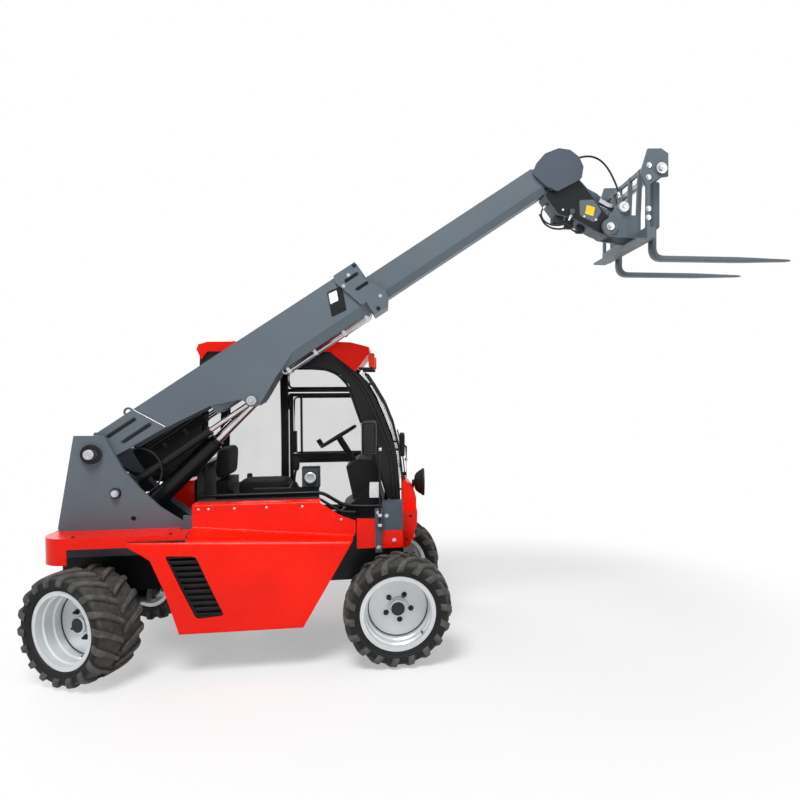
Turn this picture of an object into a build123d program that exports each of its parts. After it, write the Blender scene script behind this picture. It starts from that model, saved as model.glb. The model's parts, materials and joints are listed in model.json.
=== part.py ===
"""Compact telehandler: a rear-pivoted two-stage boom beside an offset cab.

Millimetres. +X points forward, +Y to the machine's left, +Z up. The origin is on the
ground under the middle of the machine. The boom is drawn along its own axis, in u
(forward from the boom pivot) and w (square to it), and then set at its resting angle.
"""
from build123d import *
import math
import os

# --- wheels and axles
wheelbase = 1826
front_axle_x = -330
tyre_radius = 340.5
tyre_width = 305
tyre_crown_width = 236
rim_seat_radius = 216
rim_flange_radius = 234
rim_width = 262
disc_inset = 34            # disc face, inboard of the wheel's middle plane
disc_radius = 188
hub_radius = 52
spindle_radius = 40
track = 1196
kingpin_inset = 94         # kingpin axis, inboard of the wheel's middle plane
kingpin_radius = 25
rear_steer_at_rest = -28.2
axle_tube_radius = 56
differential_radius = 112

# --- chassis
rail_y = 255               # outer face of each rail
rail_thickness = 16
rail_top = 690
rail_bottom = 440
belly_z = 290
rail_rear_x = -2330
rail_front_x = -292

# --- boom
boom_y = -200
pivot_x = -2213
pivot_z = 1336
boom_angle = 34.4
outer_half_width = 120
outer_top = 100
outer_shoulder = -150      # where the lower corners begin to slope in
outer_bottom = -212
outer_toe = 96             # half width of the bottom plate
boom_wall = 8
outer_rear_u = -78
outer_front_u = 2040
stage_gap = 9              # between the two stages, filled by wear pads
pad_clearance = 0.5
inner_rear_u = 1500
inner_front_u = 3415
pivot_hub_radius = 72
pivot_pin_radius = 45
lift_pin_u = 969
lift_pin_w = -268
pin_gap = 0.4
seat_gap = 0.3
head_hub_x = 1171          # carriage pivot
head_hub_z = 2874
tilt_pin_x = 1270
tilt_pin_z = 3013
tilt_base_x = 800
tilt_base_z = 3232

# --- pedestal
pedestal_inner = 140       # inner face of each plate from the boom's middle
pedestal_thickness = 25
lift_base_x = -1977
lift_base_z = 923
level_base_x = -2079
level_base_z = 1086

# --- fork carriage
fork_y = 360
fork_width = 80
fork_thickness = 34
fork_shank_x = 1480
fork_shaft_x = 1475
fork_shaft_z = 3240
fork_shaft_radius = 28
fork_heel_z = 2632
fork_tip_x = 2524
carriage_half_width = 500

# --- cab
cab_right = -20
cab_left = 670
cab_floor_z = 712
cab_roof_z = 2050
cab_rear_x = -1698
rear_top_x = -1655
tube = 50
door_gap = 8
door_rear_x = -1157
door_hinge_x = -1163
door_hinge_z = (900, 1600)
header_z = 1708
belt_z = 1154
wheel_centre = (-758, 330, 1374)
column_axis = (-0.518, 0, 0.855)

# --- bodywork
skin = 6
cover_top_z = 1012
cover_pin_y = -357
cover_pin_z = 1000
cover_hinge_x = (-1480, -980)
seal_radius = 9
cover_hinge_y = -366
cover_wall_y = -470
skirt_y = -640
tail_side_y = 600
tail_rear_x = -2436
hitch_bore_x = -2492
hitch_bore_radius = 13

rear_axle_x = front_axle_x - wheelbase
door_hinge_y = cab_left + 14
axle_z = tyre_radius
half_track = track / 2
kingpin_y = half_track - kingpin_inset
os.makedirs("parts", exist_ok=True)


# ---------------------------------------------------------------- basic shapes
def block(x, y, z):
    corner = Pos(x[0], y[0], z[0])
    return corner * Box(x[1] - x[0], y[1] - y[0], z[1] - z[0], align=(Align.MIN,) * 3)


def side_plate(outline, y, radius=0):
    """Plate between two y values, with its outline given in X and Z."""
    points = [(px, y[0], pz) for px, pz in outline]
    edge = FilletPolyline(*points, radius=radius, close=True) if radius else Polyline(*points, close=True)
    return extrude(make_face(edge), amount=y[1] - y[0], dir=(0, 1, 0))


def cross_plate(outline, x, radius=0):
    """Plate between two x values, with its outline given in Y and Z."""
    points = [(x[0], py, pz) for py, pz in outline]
    edge = FilletPolyline(*points, radius=radius, close=True) if radius else Polyline(*points, close=True)
    return extrude(make_face(edge), amount=x[1] - x[0], dir=(1, 0, 0))


def flat_plate(outline, z, radius=0):
    """Plate between two z values, with its outline given in X and Y."""
    points = [(px, py, z[0]) for px, py in outline]
    edge = FilletPolyline(*points, radius=radius, close=True) if radius else Polyline(*points, close=True)
    return extrude(make_face(edge), amount=z[1] - z[0], dir=(0, 0, 1))


def rod(start, end, radius):
    start, end = Vector(*start), Vector(*end)
    along = end - start
    base = (Align.CENTER, Align.CENTER, Align.MIN)
    return Plane(origin=start, z_dir=along) * Cylinder(radius, along.length, align=base)


def pin(x, z, y, radius):
    """Round bar along Y."""
    return rod((x, y[0], z), (x, y[1], z), radius)


def turned(profile):
    """Solid of revolution about the Y axis; the profile is (radius, y) points."""
    points = [(r, y, 0) for r, y in profile]
    return revolve(make_face(Polyline(*points, close=True)), axis=Axis.Y)


def pipe(points, radius, bend):
    """Tube along straight runs joined by arcs."""
    path = FilletPolyline(*points, radius=bend)
    return sweep(Plane(origin=path @ 0, z_dir=path % 0) * Circle(radius), path=path)


def hose(points, radius):
    """Flexible hose: straight runs joined by arcs as large as the runs allow."""
    corners = [Vector(*p) for p in points]
    radii = []
    for before, here, after in zip(corners, corners[1:], corners[2:]):
        turn = math.radians((here - before).get_angle(after - here))
        shorter = min((here - before).length, (after - here).length)
        radii.append(0.45 * shorter / math.tan(turn / 2))
    path = FilletPolyline(*corners, radius=radii)
    return sweep(Plane(origin=path @ 0, z_dir=path % 0) * Circle(radius), path=path)


def save(name, *shapes):
    """Write one node; several solids that do not touch may share it."""
    solids = [solid for shape in shapes for solid in shape.solids()]
    export_step(solids[0] if len(solids) == 1 else Compound(solids), f"parts/{name}.step")


# ---------------------------------------------------------------- wheels
def tyre():
    half, crown = tyre_width / 2, tyre_crown_width / 2
    r0 = rim_seat_radius + pin_gap
    side = [
        # radius, y
        (r0, 107.6),
        (rim_flange_radius + pin_gap, 115.6),
        (rim_flange_radius + 5, 134),
        (r0 + 66, half),
        (tyre_radius - 24, half - 4),
        (tyre_radius, crown),
    ]
    return turned(side + [(r, -y) for r, y in reversed(side)])


def rim():
    """Deep-dished rim whose barrel steps down to the disc; +y is its outer face."""
    edge = rim_width / 2
    wall = 8
    lip = rim_seat_radius - wall
    front = -disc_inset + 10
    bore = spindle_radius + pin_gap
    outside = [
        # radius, y along the tyre side of the rim
        (rim_flange_radius, -edge),
        (rim_flange_radius, -116),
        (rim_seat_radius, -108),
        (rim_seat_radius, 108),
        (rim_flange_radius, 116),
        (rim_flange_radius, edge),
    ]
    dish = [
        # radius, y down the three steps to the disc
        (lip, edge),
        (lip, 88),
        (lip - 9, 80),
        (lip - 9, 28),
        (disc_radius + 2, 20),
        (disc_radius + 2, front),
    ]
    hub = [
        # radius, y over the hub cap and back through the spindle bore
        (hub_radius + 14, front),
        (hub_radius + 10, front + 12),
        (hub_radius, front + 12),
        (hub_radius, front + 44),
        (hub_radius - 8, front + 50),
        (0, front + 50),
        (0, -disc_inset - 2),
        (bore, -disc_inset - 2),
        (bore, -disc_inset - 34),
        (bore + 42, -disc_inset - 34),
        (bore + 42, -disc_inset),
    ]
    back = [(disc_radius, -disc_inset), (lip - 8, -64), (lip, -edge)]
    return turned(outside + dish + hub + back)


def knuckle():
    """Steering knuckle with its spindle; origin at the wheel's middle, +y outboard."""
    spindle = rod((0, -kingpin_inset, 0), (0, -disc_inset - 2 - pin_gap, 0), spindle_radius)
    drum = rod((0, -kingpin_inset - 30, 0), (0, -disc_inset - 34 - pin_gap, 0), 78)
    post = rod((0, -kingpin_inset, -112), (0, -kingpin_inset, 112), kingpin_radius)
    arm = block((-150, -40), (-kingpin_inset - 22, -kingpin_inset + 10), (-88, -64))
    return spindle + drum + post + arm


def axle(x):
    """Beam axle with a central differential and a yoke round each kingpin."""
    beam = rod((x, -kingpin_y + 70, axle_z), (x, kingpin_y - 70, axle_z), axle_tube_radius)
    bulge = Pos(x, 0, axle_z) * Sphere(differential_radius)
    shape = beam + bulge + rod((x - 150, 0, axle_z), (x + 150, 0, axle_z), 58)
    for side in (-1, 1):
        y = side * kingpin_y
        web = sorted((y - side * 130, y - side * 88))
        shape += block((x - 56, x + 56), web, (axle_z - 150, axle_z + 150))
        shape += rod((x, y - side * 70, axle_z), (x, y - side * 135, axle_z), axle_tube_radius)
        arm_y = sorted((y - side * 100, y + side * 30))
        for low in (-150, 112 + pin_gap):
            shape += block((x - 50, x + 50), arm_y, (axle_z + low, axle_z + low + 38 - pin_gap))
        seat = sorted((side * (rail_y - 75), side * rail_y))
        shape += block((x - 80, x + 80), seat, (axle_z, rail_bottom))
    return shape


for row, x, steer in (("front", front_axle_x, 0), ("rear", rear_axle_x, rear_steer_at_rest)):
    save(f"{row}_axle", axle(x))
    for side_name, side in (("right", -1), ("left", 1)):
        turn = 180 if side < 0 else 0
        at_kingpin = Pos(x, side * kingpin_y, axle_z) * Rot(0, 0, steer + turn)
        at_wheel = at_kingpin * Pos(0, kingpin_inset, 0)
        arm_side = Rot(0, 180, 0) if (row == "front") != (side < 0) else Rot(0, 0, 0)
        save(f"{row}_{side_name}_tyre", at_wheel * tyre())
        save(f"{row}_{side_name}_rim", at_wheel * rim())
        save(f"{row}_{side_name}_knuckle", at_wheel * arm_side * knuckle())


# ---------------------------------------------------------------- hoses
hose_radius = 7
small_hose_radius = 6
head_hose = [
    # x, y, z from the gland on the head over to the coupling on the carriage
    (896, -276, 3308),
    (932, -272, 3349),
    (992, -262, 3375),
    (1062, -254, 3382),
    (1127, -254, 3356),
    (1180, -258, 3297),
    (1217, -264, 3224),
    (1244, -272, 3154),
    (1259, -279, 3090),
]
neck_hose = [
    # x, y, z from the neck's rear face, down and forward to its flank
    (730, -239, 3029),
    (699, -246, 3001),
    (686, -257, 2957),
    (700, -269, 2912),
    (738, -281, 2884),
    (790, -290, 2874),
    (842, -297, 2882),
    (879, -300, 2908),
    (895, -300, 2948),
]
lift_hose = [
    # x, y, z out of the boom's open rear, down and back to the pedestal
    (-2034, -290, 1372),
    (-1964, -290, 1366),
    (-1898, -290, 1345),
    (-1850, -290, 1300),
    (-1826, -290, 1240),
    (-1828, -290, 1176),
    (-1853, -292, 1120),
    (-1896, -297, 1080),
    (-1940, -301, 1060),
]
level_hose = [
    # x, y, z along the pedestal's inner side, beside the small cylinder
    (-2064, -300, 1218),
    (-2022, -298, 1204),
    (-1987, -297, 1172),
    (-1970, -297, 1126),
    (-1966, -299, 1078),
]


def gland(points, length, radius, gap=0):
    """Stub that a hose comes out of, in line with its first run."""
    first, second = Vector(*points[0]), Vector(*points[1])
    back = (first - second).normalized()
    return rod(tuple(first + back * gap), tuple(first + back * length), radius)


# ---------------------------------------------------------------- chassis
def chassis_frame():
    outline = [
        (rail_rear_x, rail_top),
        (rail_front_x, rail_top),
        (rail_front_x, rail_bottom),
        (-780, rail_bottom),
        (-880, belly_z),
        (-1500, belly_z),
        (-1620, rail_bottom),
        (rail_rear_x, rail_bottom),
    ]
    shape = side_plate(outline, (-rail_y, -rail_y + rail_thickness))
    shape += side_plate(outline, (rail_y - rail_thickness, rail_y))
    shape += block((-1500, -880), (-rail_y, rail_y), (belly_z, belly_z + 8))
    for x in (rail_rear_x, -1900, -1560, -900, -560, rail_front_x - 16):
        shape += block((x, x + 16), (-rail_y, rail_y), (rail_bottom + 60, rail_top))
    for x in (-1440, -960):
        shape += block((x, x + 12), (-612, -rail_y), (330, 380))
        shape += block((x, x + 12), (rail_y, 600), (belly_z, 320))
    shape += block((-1900, -560), (-rail_y, rail_y), (rail_top - 8, rail_top))
    return shape


def boom_pedestal():
    """Two upright plates that carry the boom pivot, on a base over the rear axle."""
    outline = [
        # x, z round the plate, clockwise from the lower rear corner
        (-2417, 872),
        (-2319, 1451),
        (-2142, 1449),
        (-2103, 1365),
        (-2036, 1237),
        (-1933, 1106),
        (-1817, 987),
        (-1681, 892),
        (-1681, 716),
        (-2378, 716),
        (-2378, 825),
    ]
    shape = None
    for side in (-1, 1):
        inner = boom_y + side * pedestal_inner
        y = sorted((inner, inner + side * pedestal_thickness))
        wall = side_plate(outline, y)
        wall -= pin(lift_base_x, lift_base_z, (y[0] - 1, y[1] + 1), 16)
        boss_end = inner + side * (pedestal_thickness + 16)
        wall += pin(pivot_x, pivot_z, sorted((inner, boss_end)), 62)
        wall += pin(pivot_x, pivot_z, sorted((inner, boss_end + side * 22)), 30)
        wall += pin(level_base_x, level_base_z, sorted((inner, boss_end + side * 6)), 26)
        hub_gap = side * 5
        wall += pin(pivot_x, pivot_z, sorted((inner - hub_gap, inner)), pivot_hub_radius)
        shape = wall if shape is None else shape + wall
    outer = pedestal_inner + pedestal_thickness
    shape += pin(pivot_x, pivot_z, (boom_y - pedestal_inner, boom_y + pedestal_inner), pivot_pin_radius)
    shape += pin(level_base_x, level_base_z, (boom_y - pedestal_inner, boom_y + pedestal_inner), 20)
    shape += pin(lift_base_x, lift_base_z, (boom_y - pedestal_inner + 40, boom_y + pedestal_inner), 24)
    shape += block((-2378, -1681), (boom_y - outer, boom_y + outer), (rail_top, rail_top + 26))
    shape += block((-2378, cab_rear_x - 2), (boom_y - outer, rail_y), (rail_top, rail_top + 26))
    shape += block((-2378, -2353), (boom_y - outer, boom_y + outer), (716, 1000))
    valve_y = (boom_y - pedestal_inner - 1, boom_y - 90)
    shape += block((-1980, -1950), valve_y, (1038, 1068))
    shape += block((-2092, -2072), valve_y, (1206, 1230))
    for end in (lift_hose[::-1], level_hose, level_hose[::-1]):
        shape += gland(end, 12, 9)
    tab_y = boom_y - outer
    tab = [
        (-1681, tab_y),
        (-1604, tab_y - 42),
        (-1604, tab_y - 30),
        (-1669, tab_y + 25),
        (-1681, tab_y + 25),
    ]
    shape += flat_plate(tab, (800, 930))
    return shape


def tail_cover():
    """Red shell over the rear wheels, open underneath and round the pedestal."""
    side = tail_side_y
    top, low, edge = 856, 790, 696
    plan = [(tail_rear_x, -side), (-1604, -side), (-1604, side), (tail_rear_x, side)]
    inset = [
        (tail_rear_x + skin, -side + skin),
        (-1603, -side + skin),
        (-1603, side - skin),
        (tail_rear_x + skin, side - skin),
    ]
    shape = flat_plate(plan, (edge, top))
    shape = fillet(shape.edges().filter_by(Axis.Z).group_by(Axis.X)[0], 150)
    hollow = flat_plate(inset, (edge - 1, top - skin))
    hollow = fillet(hollow.edges().filter_by(Axis.Z).group_by(Axis.X)[0], 150 - skin)
    shape -= hollow
    shape -= block((-2270, -1600), (-side - 1, side + 1), (edge - 1, low))
    shape -= block((-1935, -1600), (-side - 1, side + 1), (low - 1, 824))
    outer = pedestal_inner + pedestal_thickness
    shape -= block((-2424, -1600), (boom_y - outer - seat_gap, boom_y + outer + seat_gap), (edge, top + 1))
    shape -= block((-1700, -1600), (boom_y + outer, side + 1), (edge, top + 1))
    shape -= block((-1690, -1600), (boom_y - outer - 60, boom_y), (edge, top + 1))
    riser = [(-1930, 855), (-1880, 1060), (-1850, 1100), (-1702, 1112), (-1702, 855)]
    riser_hollow = [(-1916, 840), (-1868, 1054), (-1842, 1088), (-1690, 1099), (-1690, 840)]
    shape += side_plate(riser, (cab_right, 560)) - side_plate(riser_hollow, (cab_right + skin, 560 - skin))
    return shape


def counterweight():
    outline = [(-2440, 500), (-2440, 640), (-2400, 676), (rail_rear_x, 676), (rail_rear_x, 460), (-2400, 460)]
    return side_plate(outline, (-rail_y, rail_y), 18)


def tow_hitch():
    shape = block((-2520, -2440), (-45, 45), (520, 534))
    shape += block((-2520, -2440), (-45, 45), (596, 610))
    shape += block((-2452, -2440), (-70, 70), (500, 630))
    return shape - rod((hitch_bore_x, 0, 500), (hitch_bore_x, 0, 640), hitch_bore_radius)


def engine_block():
    return block((-1500, -900), (-598, -380), (380, 745))


save("chassis_frame", chassis_frame())
save("boom_pedestal", boom_pedestal())
save("tail_cover", tail_cover())
save("counterweight", counterweight())
save("tow_hitch", tow_hitch())
save("engine_block", engine_block())


# ---------------------------------------------------------------- right side
def cover_section(x, shelf_in_z, shelf_out_z, inset):
    """Cross-section of the engine cover: wall, sloping shelf and skirt."""
    points = [
        (cover_hinge_y - inset, cover_top_z - inset),
        (cover_wall_y + 16 + inset * 0.6, cover_top_z - inset),
        (cover_wall_y + inset, cover_top_z - 18 - inset * 0.6),
        (cover_wall_y + inset, shelf_in_z - inset * 0.3),
        (skirt_y + inset, shelf_out_z - inset),
        (skirt_y + inset, 262 - inset * 2),
        (cover_hinge_y - inset, 262 - inset * 2),
    ]
    return make_face(Polyline(*[(x, y, z) for y, z in points], close=True))


def engine_cover():
    """Moulded right-hand side of the machine; hinged along its inboard top edge."""
    ends = [
        # x, height of the shelf inboard, height of the shelf outboard
        (-1940, 905, 822),
        (-470, 766, 782),
    ]
    solid = loft([cover_section(*end, 0) for end in ends], ruled=True)
    hollow = loft([cover_section(x + step, a, b, skin) for (x, a, b), step in zip(ends, (-1, 1))], ruled=True)
    shell = solid - hollow
    outline = [
        # x, z of the cover seen from the side
        (-1598, 1100),
        (-1598, 816),
        (-1926, 812),
        (-1922, 800),
        (-1795, 720),
        (-1714, 533),
        (-1636, 264),
        (-901, 279),
        (-609, 784),
        (-596, 800),
        (-596, 900),
        (-682, 912),
        (-820, 1006),
        (-845, 1100),
    ]
    shell = shell & side_plate(outline, (-700, cover_hinge_y))
    window = [(-1710, 741), (-1534, 732), (-1373, 365), (-1535, 351)]
    shell -= side_plate(window, (skirt_y - 5, skirt_y + 20), 14)
    shell -= block((-1950, -400), (cover_hinge_y - skin - 1, cover_hinge_y + 1), (200, cover_top_z - 40))
    for x in cover_hinge_x:
        start, end = x + 40 + seat_gap, x + 80
        shell += rod((start, cover_pin_y, cover_pin_z), (end, cover_pin_y, cover_pin_z), 7)
        shell += block((start, end), (cover_hinge_y - 4, cover_pin_y), (cover_pin_z, cover_pin_z + 7))
    return shell


def engine_grille():
    """Slanted slats behind the opening in the skirt."""
    frame = [(-1722, 752), (-1526, 742), (-1361, 354), (-1545, 340)]
    opening = [(-1698, 731), (-1542, 722), (-1389, 375), (-1527, 362)]
    y = skirt_y + skin
    shape = side_plate(frame, (y, y + 6), 14) - side_plate(opening, (y - 1, y + 7), 10)
    slats = None
    for z in range(370, 740, 36):
        slat = Pos(-1540, y + 5, z) * Rot(28, 0, 0) * Box(420, 3, 26)
        slats = slat if slats is None else slats + slat
    slats = slats & side_plate([(-1706, 740), (-1536, 731), (-1378, 364), (-1537, 352)], (y, y + 30))
    return shape + slats


def engine_bay():
    """Inboard wall and rear end of the engine bay, with the cover's fixed hinge knuckles."""
    top = cover_pin_z - 4
    wall = [(-1590, 384), (-1590, top), (-856, top), (-712, 888), (-480, 878)]
    wall += [(-480, rail_top), (-860, rail_top), (-980, 384)]
    y = (cover_pin_y - 3, cover_pin_y + 3)
    shape = side_plate(wall, y)
    shape += block((-1590, -1584), (-462, y[1]), (400, 868))
    for x in (-1560, -720):
        shape += block((x, x + 30), (y[0], 60 - rail_y), (rail_top + seat_gap, rail_top + 6))
    for x in cover_hinge_x:
        shape += rod((x, cover_pin_y, cover_pin_z), (x + 40, cover_pin_y, cover_pin_z), 7)
        shape -= block((x + 40, x + 84), (y[0] - 1, y[1] + 1), (cover_pin_z - 12, cover_pin_z + 9))
    return shape


def cover_seal():
    """Rubber bead along the cover's upper inboard edge."""
    y = cover_hinge_y + seal_radius + seat_gap
    line = [(-1590, 1017), (-844, 1019), (-700, 925), (-602, 916)]
    return pipe([(px, y, pz) for px, pz in line], seal_radius, 60)


def front_corner():
    """Red corner ahead of the cover, with the bracket for the mirror's stalk."""
    upper = [(-590, 704), (-590, 896), (-471 - seat_gap, 888), (-471 - seat_gap, 704)]
    shape = side_plate(upper, (-466, -460))
    shape += block((-590, -480), (-466, cover_pin_y - 3 - seat_gap), (698, 704))
    lower = block((-428 + seat_gap, -293), (-456, -345), (692, 807))
    lower = fillet(lower.edges().filter_by(Axis.Y).group_by(Axis.X)[-1], 16)
    return shape, lower


def corner_bracket():
    """Grey upright plate in two overlapping lengths, with the black box behind it."""
    shape = block((-471, -428), (-472, -460), (669, 957))
    shape += block((-474, -425), (-478, -472), (835, 957))
    shape += block((-434, -428), (-460, -420), (700, 950))
    box = block((-428 + seat_gap, -292), (-456, -345), (807.3, 992))
    return shape + block((-471, -428), (-460, -345), (704, 716)), box


save("engine_cover", engine_cover())
save("engine_grille", engine_grille())
save("engine_bay", engine_bay())
save("cover_seal", cover_seal())
save("front_corner", *front_corner())
save("corner_bracket", *corner_bracket())


# ---------------------------------------------------------------- left side and nose
def side_tank():
    """Fuel and oil tank under the cab door, with a step cut into it."""
    inner_y = rail_y + 4
    section = [(inner_y, 320), (inner_y, 690), (660, 690), (660, 560), (610, 540), (610, 330), (590, 320)]
    shape = cross_plate(section, (-1560, -860))
    shape -= block((-1400, -1010), (520, 700), (400, 520))
    return shape


nose_notch_z = 890         # the lowered boom passes above this
nose_section = [
    # x, z round the panel's end, clockwise from its rear top corner
    (-290, 1070),
    (-262, 1078),
    (-206, 1005),
    (-188, 948),
    (-192, 800),
    (-243, 650),
    (-290, 640),
]


def nose_panel():
    """Front panel between the wheels, cut away on the right where the boom comes down."""
    hollow = [(-291, 1060), (-266, 1064), (-217, 1001), (-199, 946), (-203, 803), (-250, 661), (-291, 652)]
    boom_space = block((-400, -100), (-300, boom_y + 150), (nose_notch_z, 1100))
    boom_wall_space = block((-400, -100), (-300, boom_y + 158), (nose_notch_z - 8, 1100))
    shape = side_plate(nose_section, (-250, 250)) - boom_space
    shape -= side_plate(hollow, (-242, 242)) - boom_wall_space
    carrier = block((-300 + seat_gap, -203), (-200, 200), (rail_top + seat_gap, rail_top + 14))
    return shape + carrier


save("side_tank", side_tank())
save("nose_panel", nose_panel())


# ---------------------------------------------------------------- cab
post_front = [
    # x, z down the front edge of the curved front posts
    (-785, 1996),
    (-700, 1940),
    (-615, 1862),
    (-545, 1785),
    (-485, 1685),
    (-414, 1520),
    (-350, 1346),
    (-316, 1186),
    (-304, 1027),
    (-300, 920),
    (-300, cab_floor_z),
]
post_back = [
    # x, z up their rear edge
    (-372, cab_floor_z),
    (-380, 933),
    (-443, 1159),
    (-520, 1350),
    (-568, 1498),
    (-600, 1590),
    (-657, 1765),
    (-727, 1843),
    (-787, 1872),
    (-868, 1890),
    (-960, 1890),
    (-960, 1996),
]
guard_line = [
    # x, z down the mesh guard ahead of the windscreen
    (-536, 1850),
    (-484, 1770),
    (-402, 1628),
    (-340, 1470),
    (-300, 1300),
    (-284, 1160),
    (-282, 1090),
]


def shifted(points, depth):
    """Line of (x, z) points moved square to itself, rearward for a positive depth."""
    moved = []
    for i, (px, pz) in enumerate(points):
        before = points[max(i - 1, 0)]
        after = points[min(i + 1, len(points) - 1)]
        dx, dz = after[0] - before[0], after[1] - before[1]
        size = math.hypot(dx, dz)
        moved.append((px + dz / size * depth, pz - dx / size * depth))
    return moved


def post(points, y, depth=tube):
    """Flat-sided post that follows a line of (x, z) points on its outer edge."""
    return side_plate(points + shifted(points, depth)[::-1], y)


def cab_frame():
    rear = cab_rear_x
    rear_post = [
        (rear, cab_floor_z),
        (rear + tube, cab_floor_z),
        (rear_top_x + tube, 1996),
        (rear_top_x, 1996),
    ]
    shape = None
    for y in ((cab_right, cab_right + tube), (cab_left - tube, cab_left)):
        side = side_plate(post_front + post_back, y)
        side += side_plate(rear_post, y)
        side += block((rear_top_x, -940), y, (1900, cab_roof_z - 40))
        side += block((-970, -770), y, (1960, cab_roof_z - 40))
        side += block((rear, -300), y, (cab_floor_z, cab_floor_z + 40))
        shape = side if shape is None else shape + side
    left = (cab_left - tube, cab_left)
    shape += block((-1215, -1165), left, (cab_floor_z, 1900))
    ahead_of_post = side_plate(post_back[:9] + [(0, 1872), (0, 0)], (left[0] - 1, left[1] + 1))
    shape += block((-1190, -610), left, (header_z, header_z + 28)) - ahead_of_post
    inner = (cab_right, cab_left)
    shape += block((rear_top_x, rear_top_x + tube), inner, (1950, cab_roof_z - 40))
    shape += block((rear + 16, rear + 16 + tube), inner, (1180, 1220))
    shape += block((-800, -750), inner, (1960, 1996))
    shape += block((-372, -330), inner, (860, 900))
    for z in door_hinge_z:
        for low in (z - 30, z + 60 + seat_gap):
            height = (low, low + 30 - seat_gap)
            shape += rod((door_hinge_x, door_hinge_y, height[0]), (door_hinge_x, door_hinge_y, height[1]), 9)
            shape += block((door_hinge_x - 22, door_hinge_x), (cab_left, door_hinge_y + 4), height)
    return shape


floor_ramp = [
    # x, z of the sloping foot board
    (-740, cab_floor_z),
    (-719, 863),
    (-607, 944),
    (-500, 1050),
    (-462, 1050),
    (-420, 904),
    (-420, cab_floor_z),
]


def cab_floor():
    """Floor pan, ramp under the dash, and the lower rear wall."""
    shape = block((cab_rear_x, -300), (cab_right, cab_left), (rail_top + 10, cab_floor_z))
    shape += block((cab_rear_x, -300), (cab_right, rail_y), (rail_top, cab_floor_z))
    shape += side_plate(floor_ramp, (cab_right + tube + seat_gap, cab_left - tube - 60))
    wall = [
        (cab_rear_x + 18, cab_floor_z),
        (cab_rear_x + 26, cab_floor_z),
        (cab_rear_x + 41, 1180 - seat_gap),
        (cab_rear_x + 33, 1180 - seat_gap),
    ]
    return shape + side_plate(wall, (cab_right + tube + seat_gap, cab_left - tube - seat_gap))


def cab_roof():
    """Moulded roof with a visor over the rear window and a cap over the windscreen."""
    outline = [
        # x, z round the roof, clockwise from the rear visor's lip
        (-1640, 1940),
        (-1672, 2010),
        (-1660, 2044),
        (-1600, 2062),
        (-900, 2074),
        (-640, 2064),
        (-516, 2032),
        (-511, 1990),
        (-614, 1858),
        (-785, 1997),
        (-1600, 1997),
    ]
    shape = side_plate(outline, (cab_right - 22, cab_left + 22))
    shape -= block((-1661, -600), (cab_right - 4, cab_left + 4), (1700, cab_roof_z - 40 + seat_gap))
    below_brow = [(px + 4, pz + 3) for px, pz in post_front[:5]] + [(-800, 1600)]
    shape -= side_plate(below_brow, (cab_right - 4, cab_left + 4))
    hollow = [
        (-800, 1800),
        (-800, 2010),
        (-650, 2046),
        (-530, 2018),
        (-525, 1990),
        (-600, 1892),
        (-600, 1700),
    ]
    return shape - side_plate(hollow, (cab_right - 4, cab_left + 4))


def cab_glass():
    """Windscreen, right-hand, left-hand and rear windows, each a flat or curved sheet."""
    screen = post(shifted(post_front[1:9], -5.3), (cab_right + 4, cab_left - 4), 5)
    right_y = (cab_right + 20, cab_right + 25)
    rear_edge = [(cab_rear_x + tube + 4, 752 + seat_gap), (rear_top_x + tube, 1900 - seat_gap)]
    front_edge = [(px - seat_gap, pz) for px, pz in post_back[1:9]]
    top_edge = [(-964, 1900 - seat_gap), (-964, 1890 - seat_gap), (-870, 1890 - seat_gap)]
    right = side_plate(rear_edge + top_edge + front_edge[::-1] + [(-374, 752 + seat_gap)], right_y)
    left_y = (cab_left - 25, cab_left - 20)
    quarter = [(cab_rear_x + tube + 4, 752 + seat_gap), (rear_top_x + tube, 1900 - seat_gap)]
    quarter += [(-1215 - seat_gap, 1900 - seat_gap), (-1215 - seat_gap, 752 + seat_gap)]
    top = [
        (-1165 + seat_gap, header_z + 28 + seat_gap),
        (-1165 + seat_gap, 1900 - seat_gap),
        (-964, 1900 - seat_gap),
    ]
    top += [(-964, 1890 - seat_gap), (-870, 1890 - seat_gap)]
    top += [(px - 0.5, pz) for px, pz in post_back[8:5:-1]] + [(-648, header_z + 28 + seat_gap)]
    rear = [
        (rear_top_x + 22, 1950 - seat_gap),
        (rear_top_x + 27, 1950 - seat_gap),
        (cab_rear_x + 42, 1220 + seat_gap),
        (cab_rear_x + 37, 1220 + seat_gap),
    ]
    rear_y = (cab_right + tube + seat_gap, cab_left - tube - seat_gap)
    return screen, right, side_plate(quarter, left_y), side_plate(top, left_y), side_plate(rear, rear_y)


def door_face(inset):
    front = [(px - door_gap, pz) for px, pz in post_back[1:6]]
    top = header_z - door_gap
    points = [(door_rear_x, 760), (door_rear_x, top), (-648, top)] + front[::-1] + [(-384, 760)]
    face = make_face(Polyline(*[(px, 0, pz) for px, pz in points], close=True))
    return offset(face, amount=-inset, kind=Kind.INTERSECTION) if inset else face


def door_sheet(inset, y):
    return Pos(0, y[0], 0) * extrude(door_face(inset), amount=y[1] - y[0], dir=(0, 1, 0))


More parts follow.
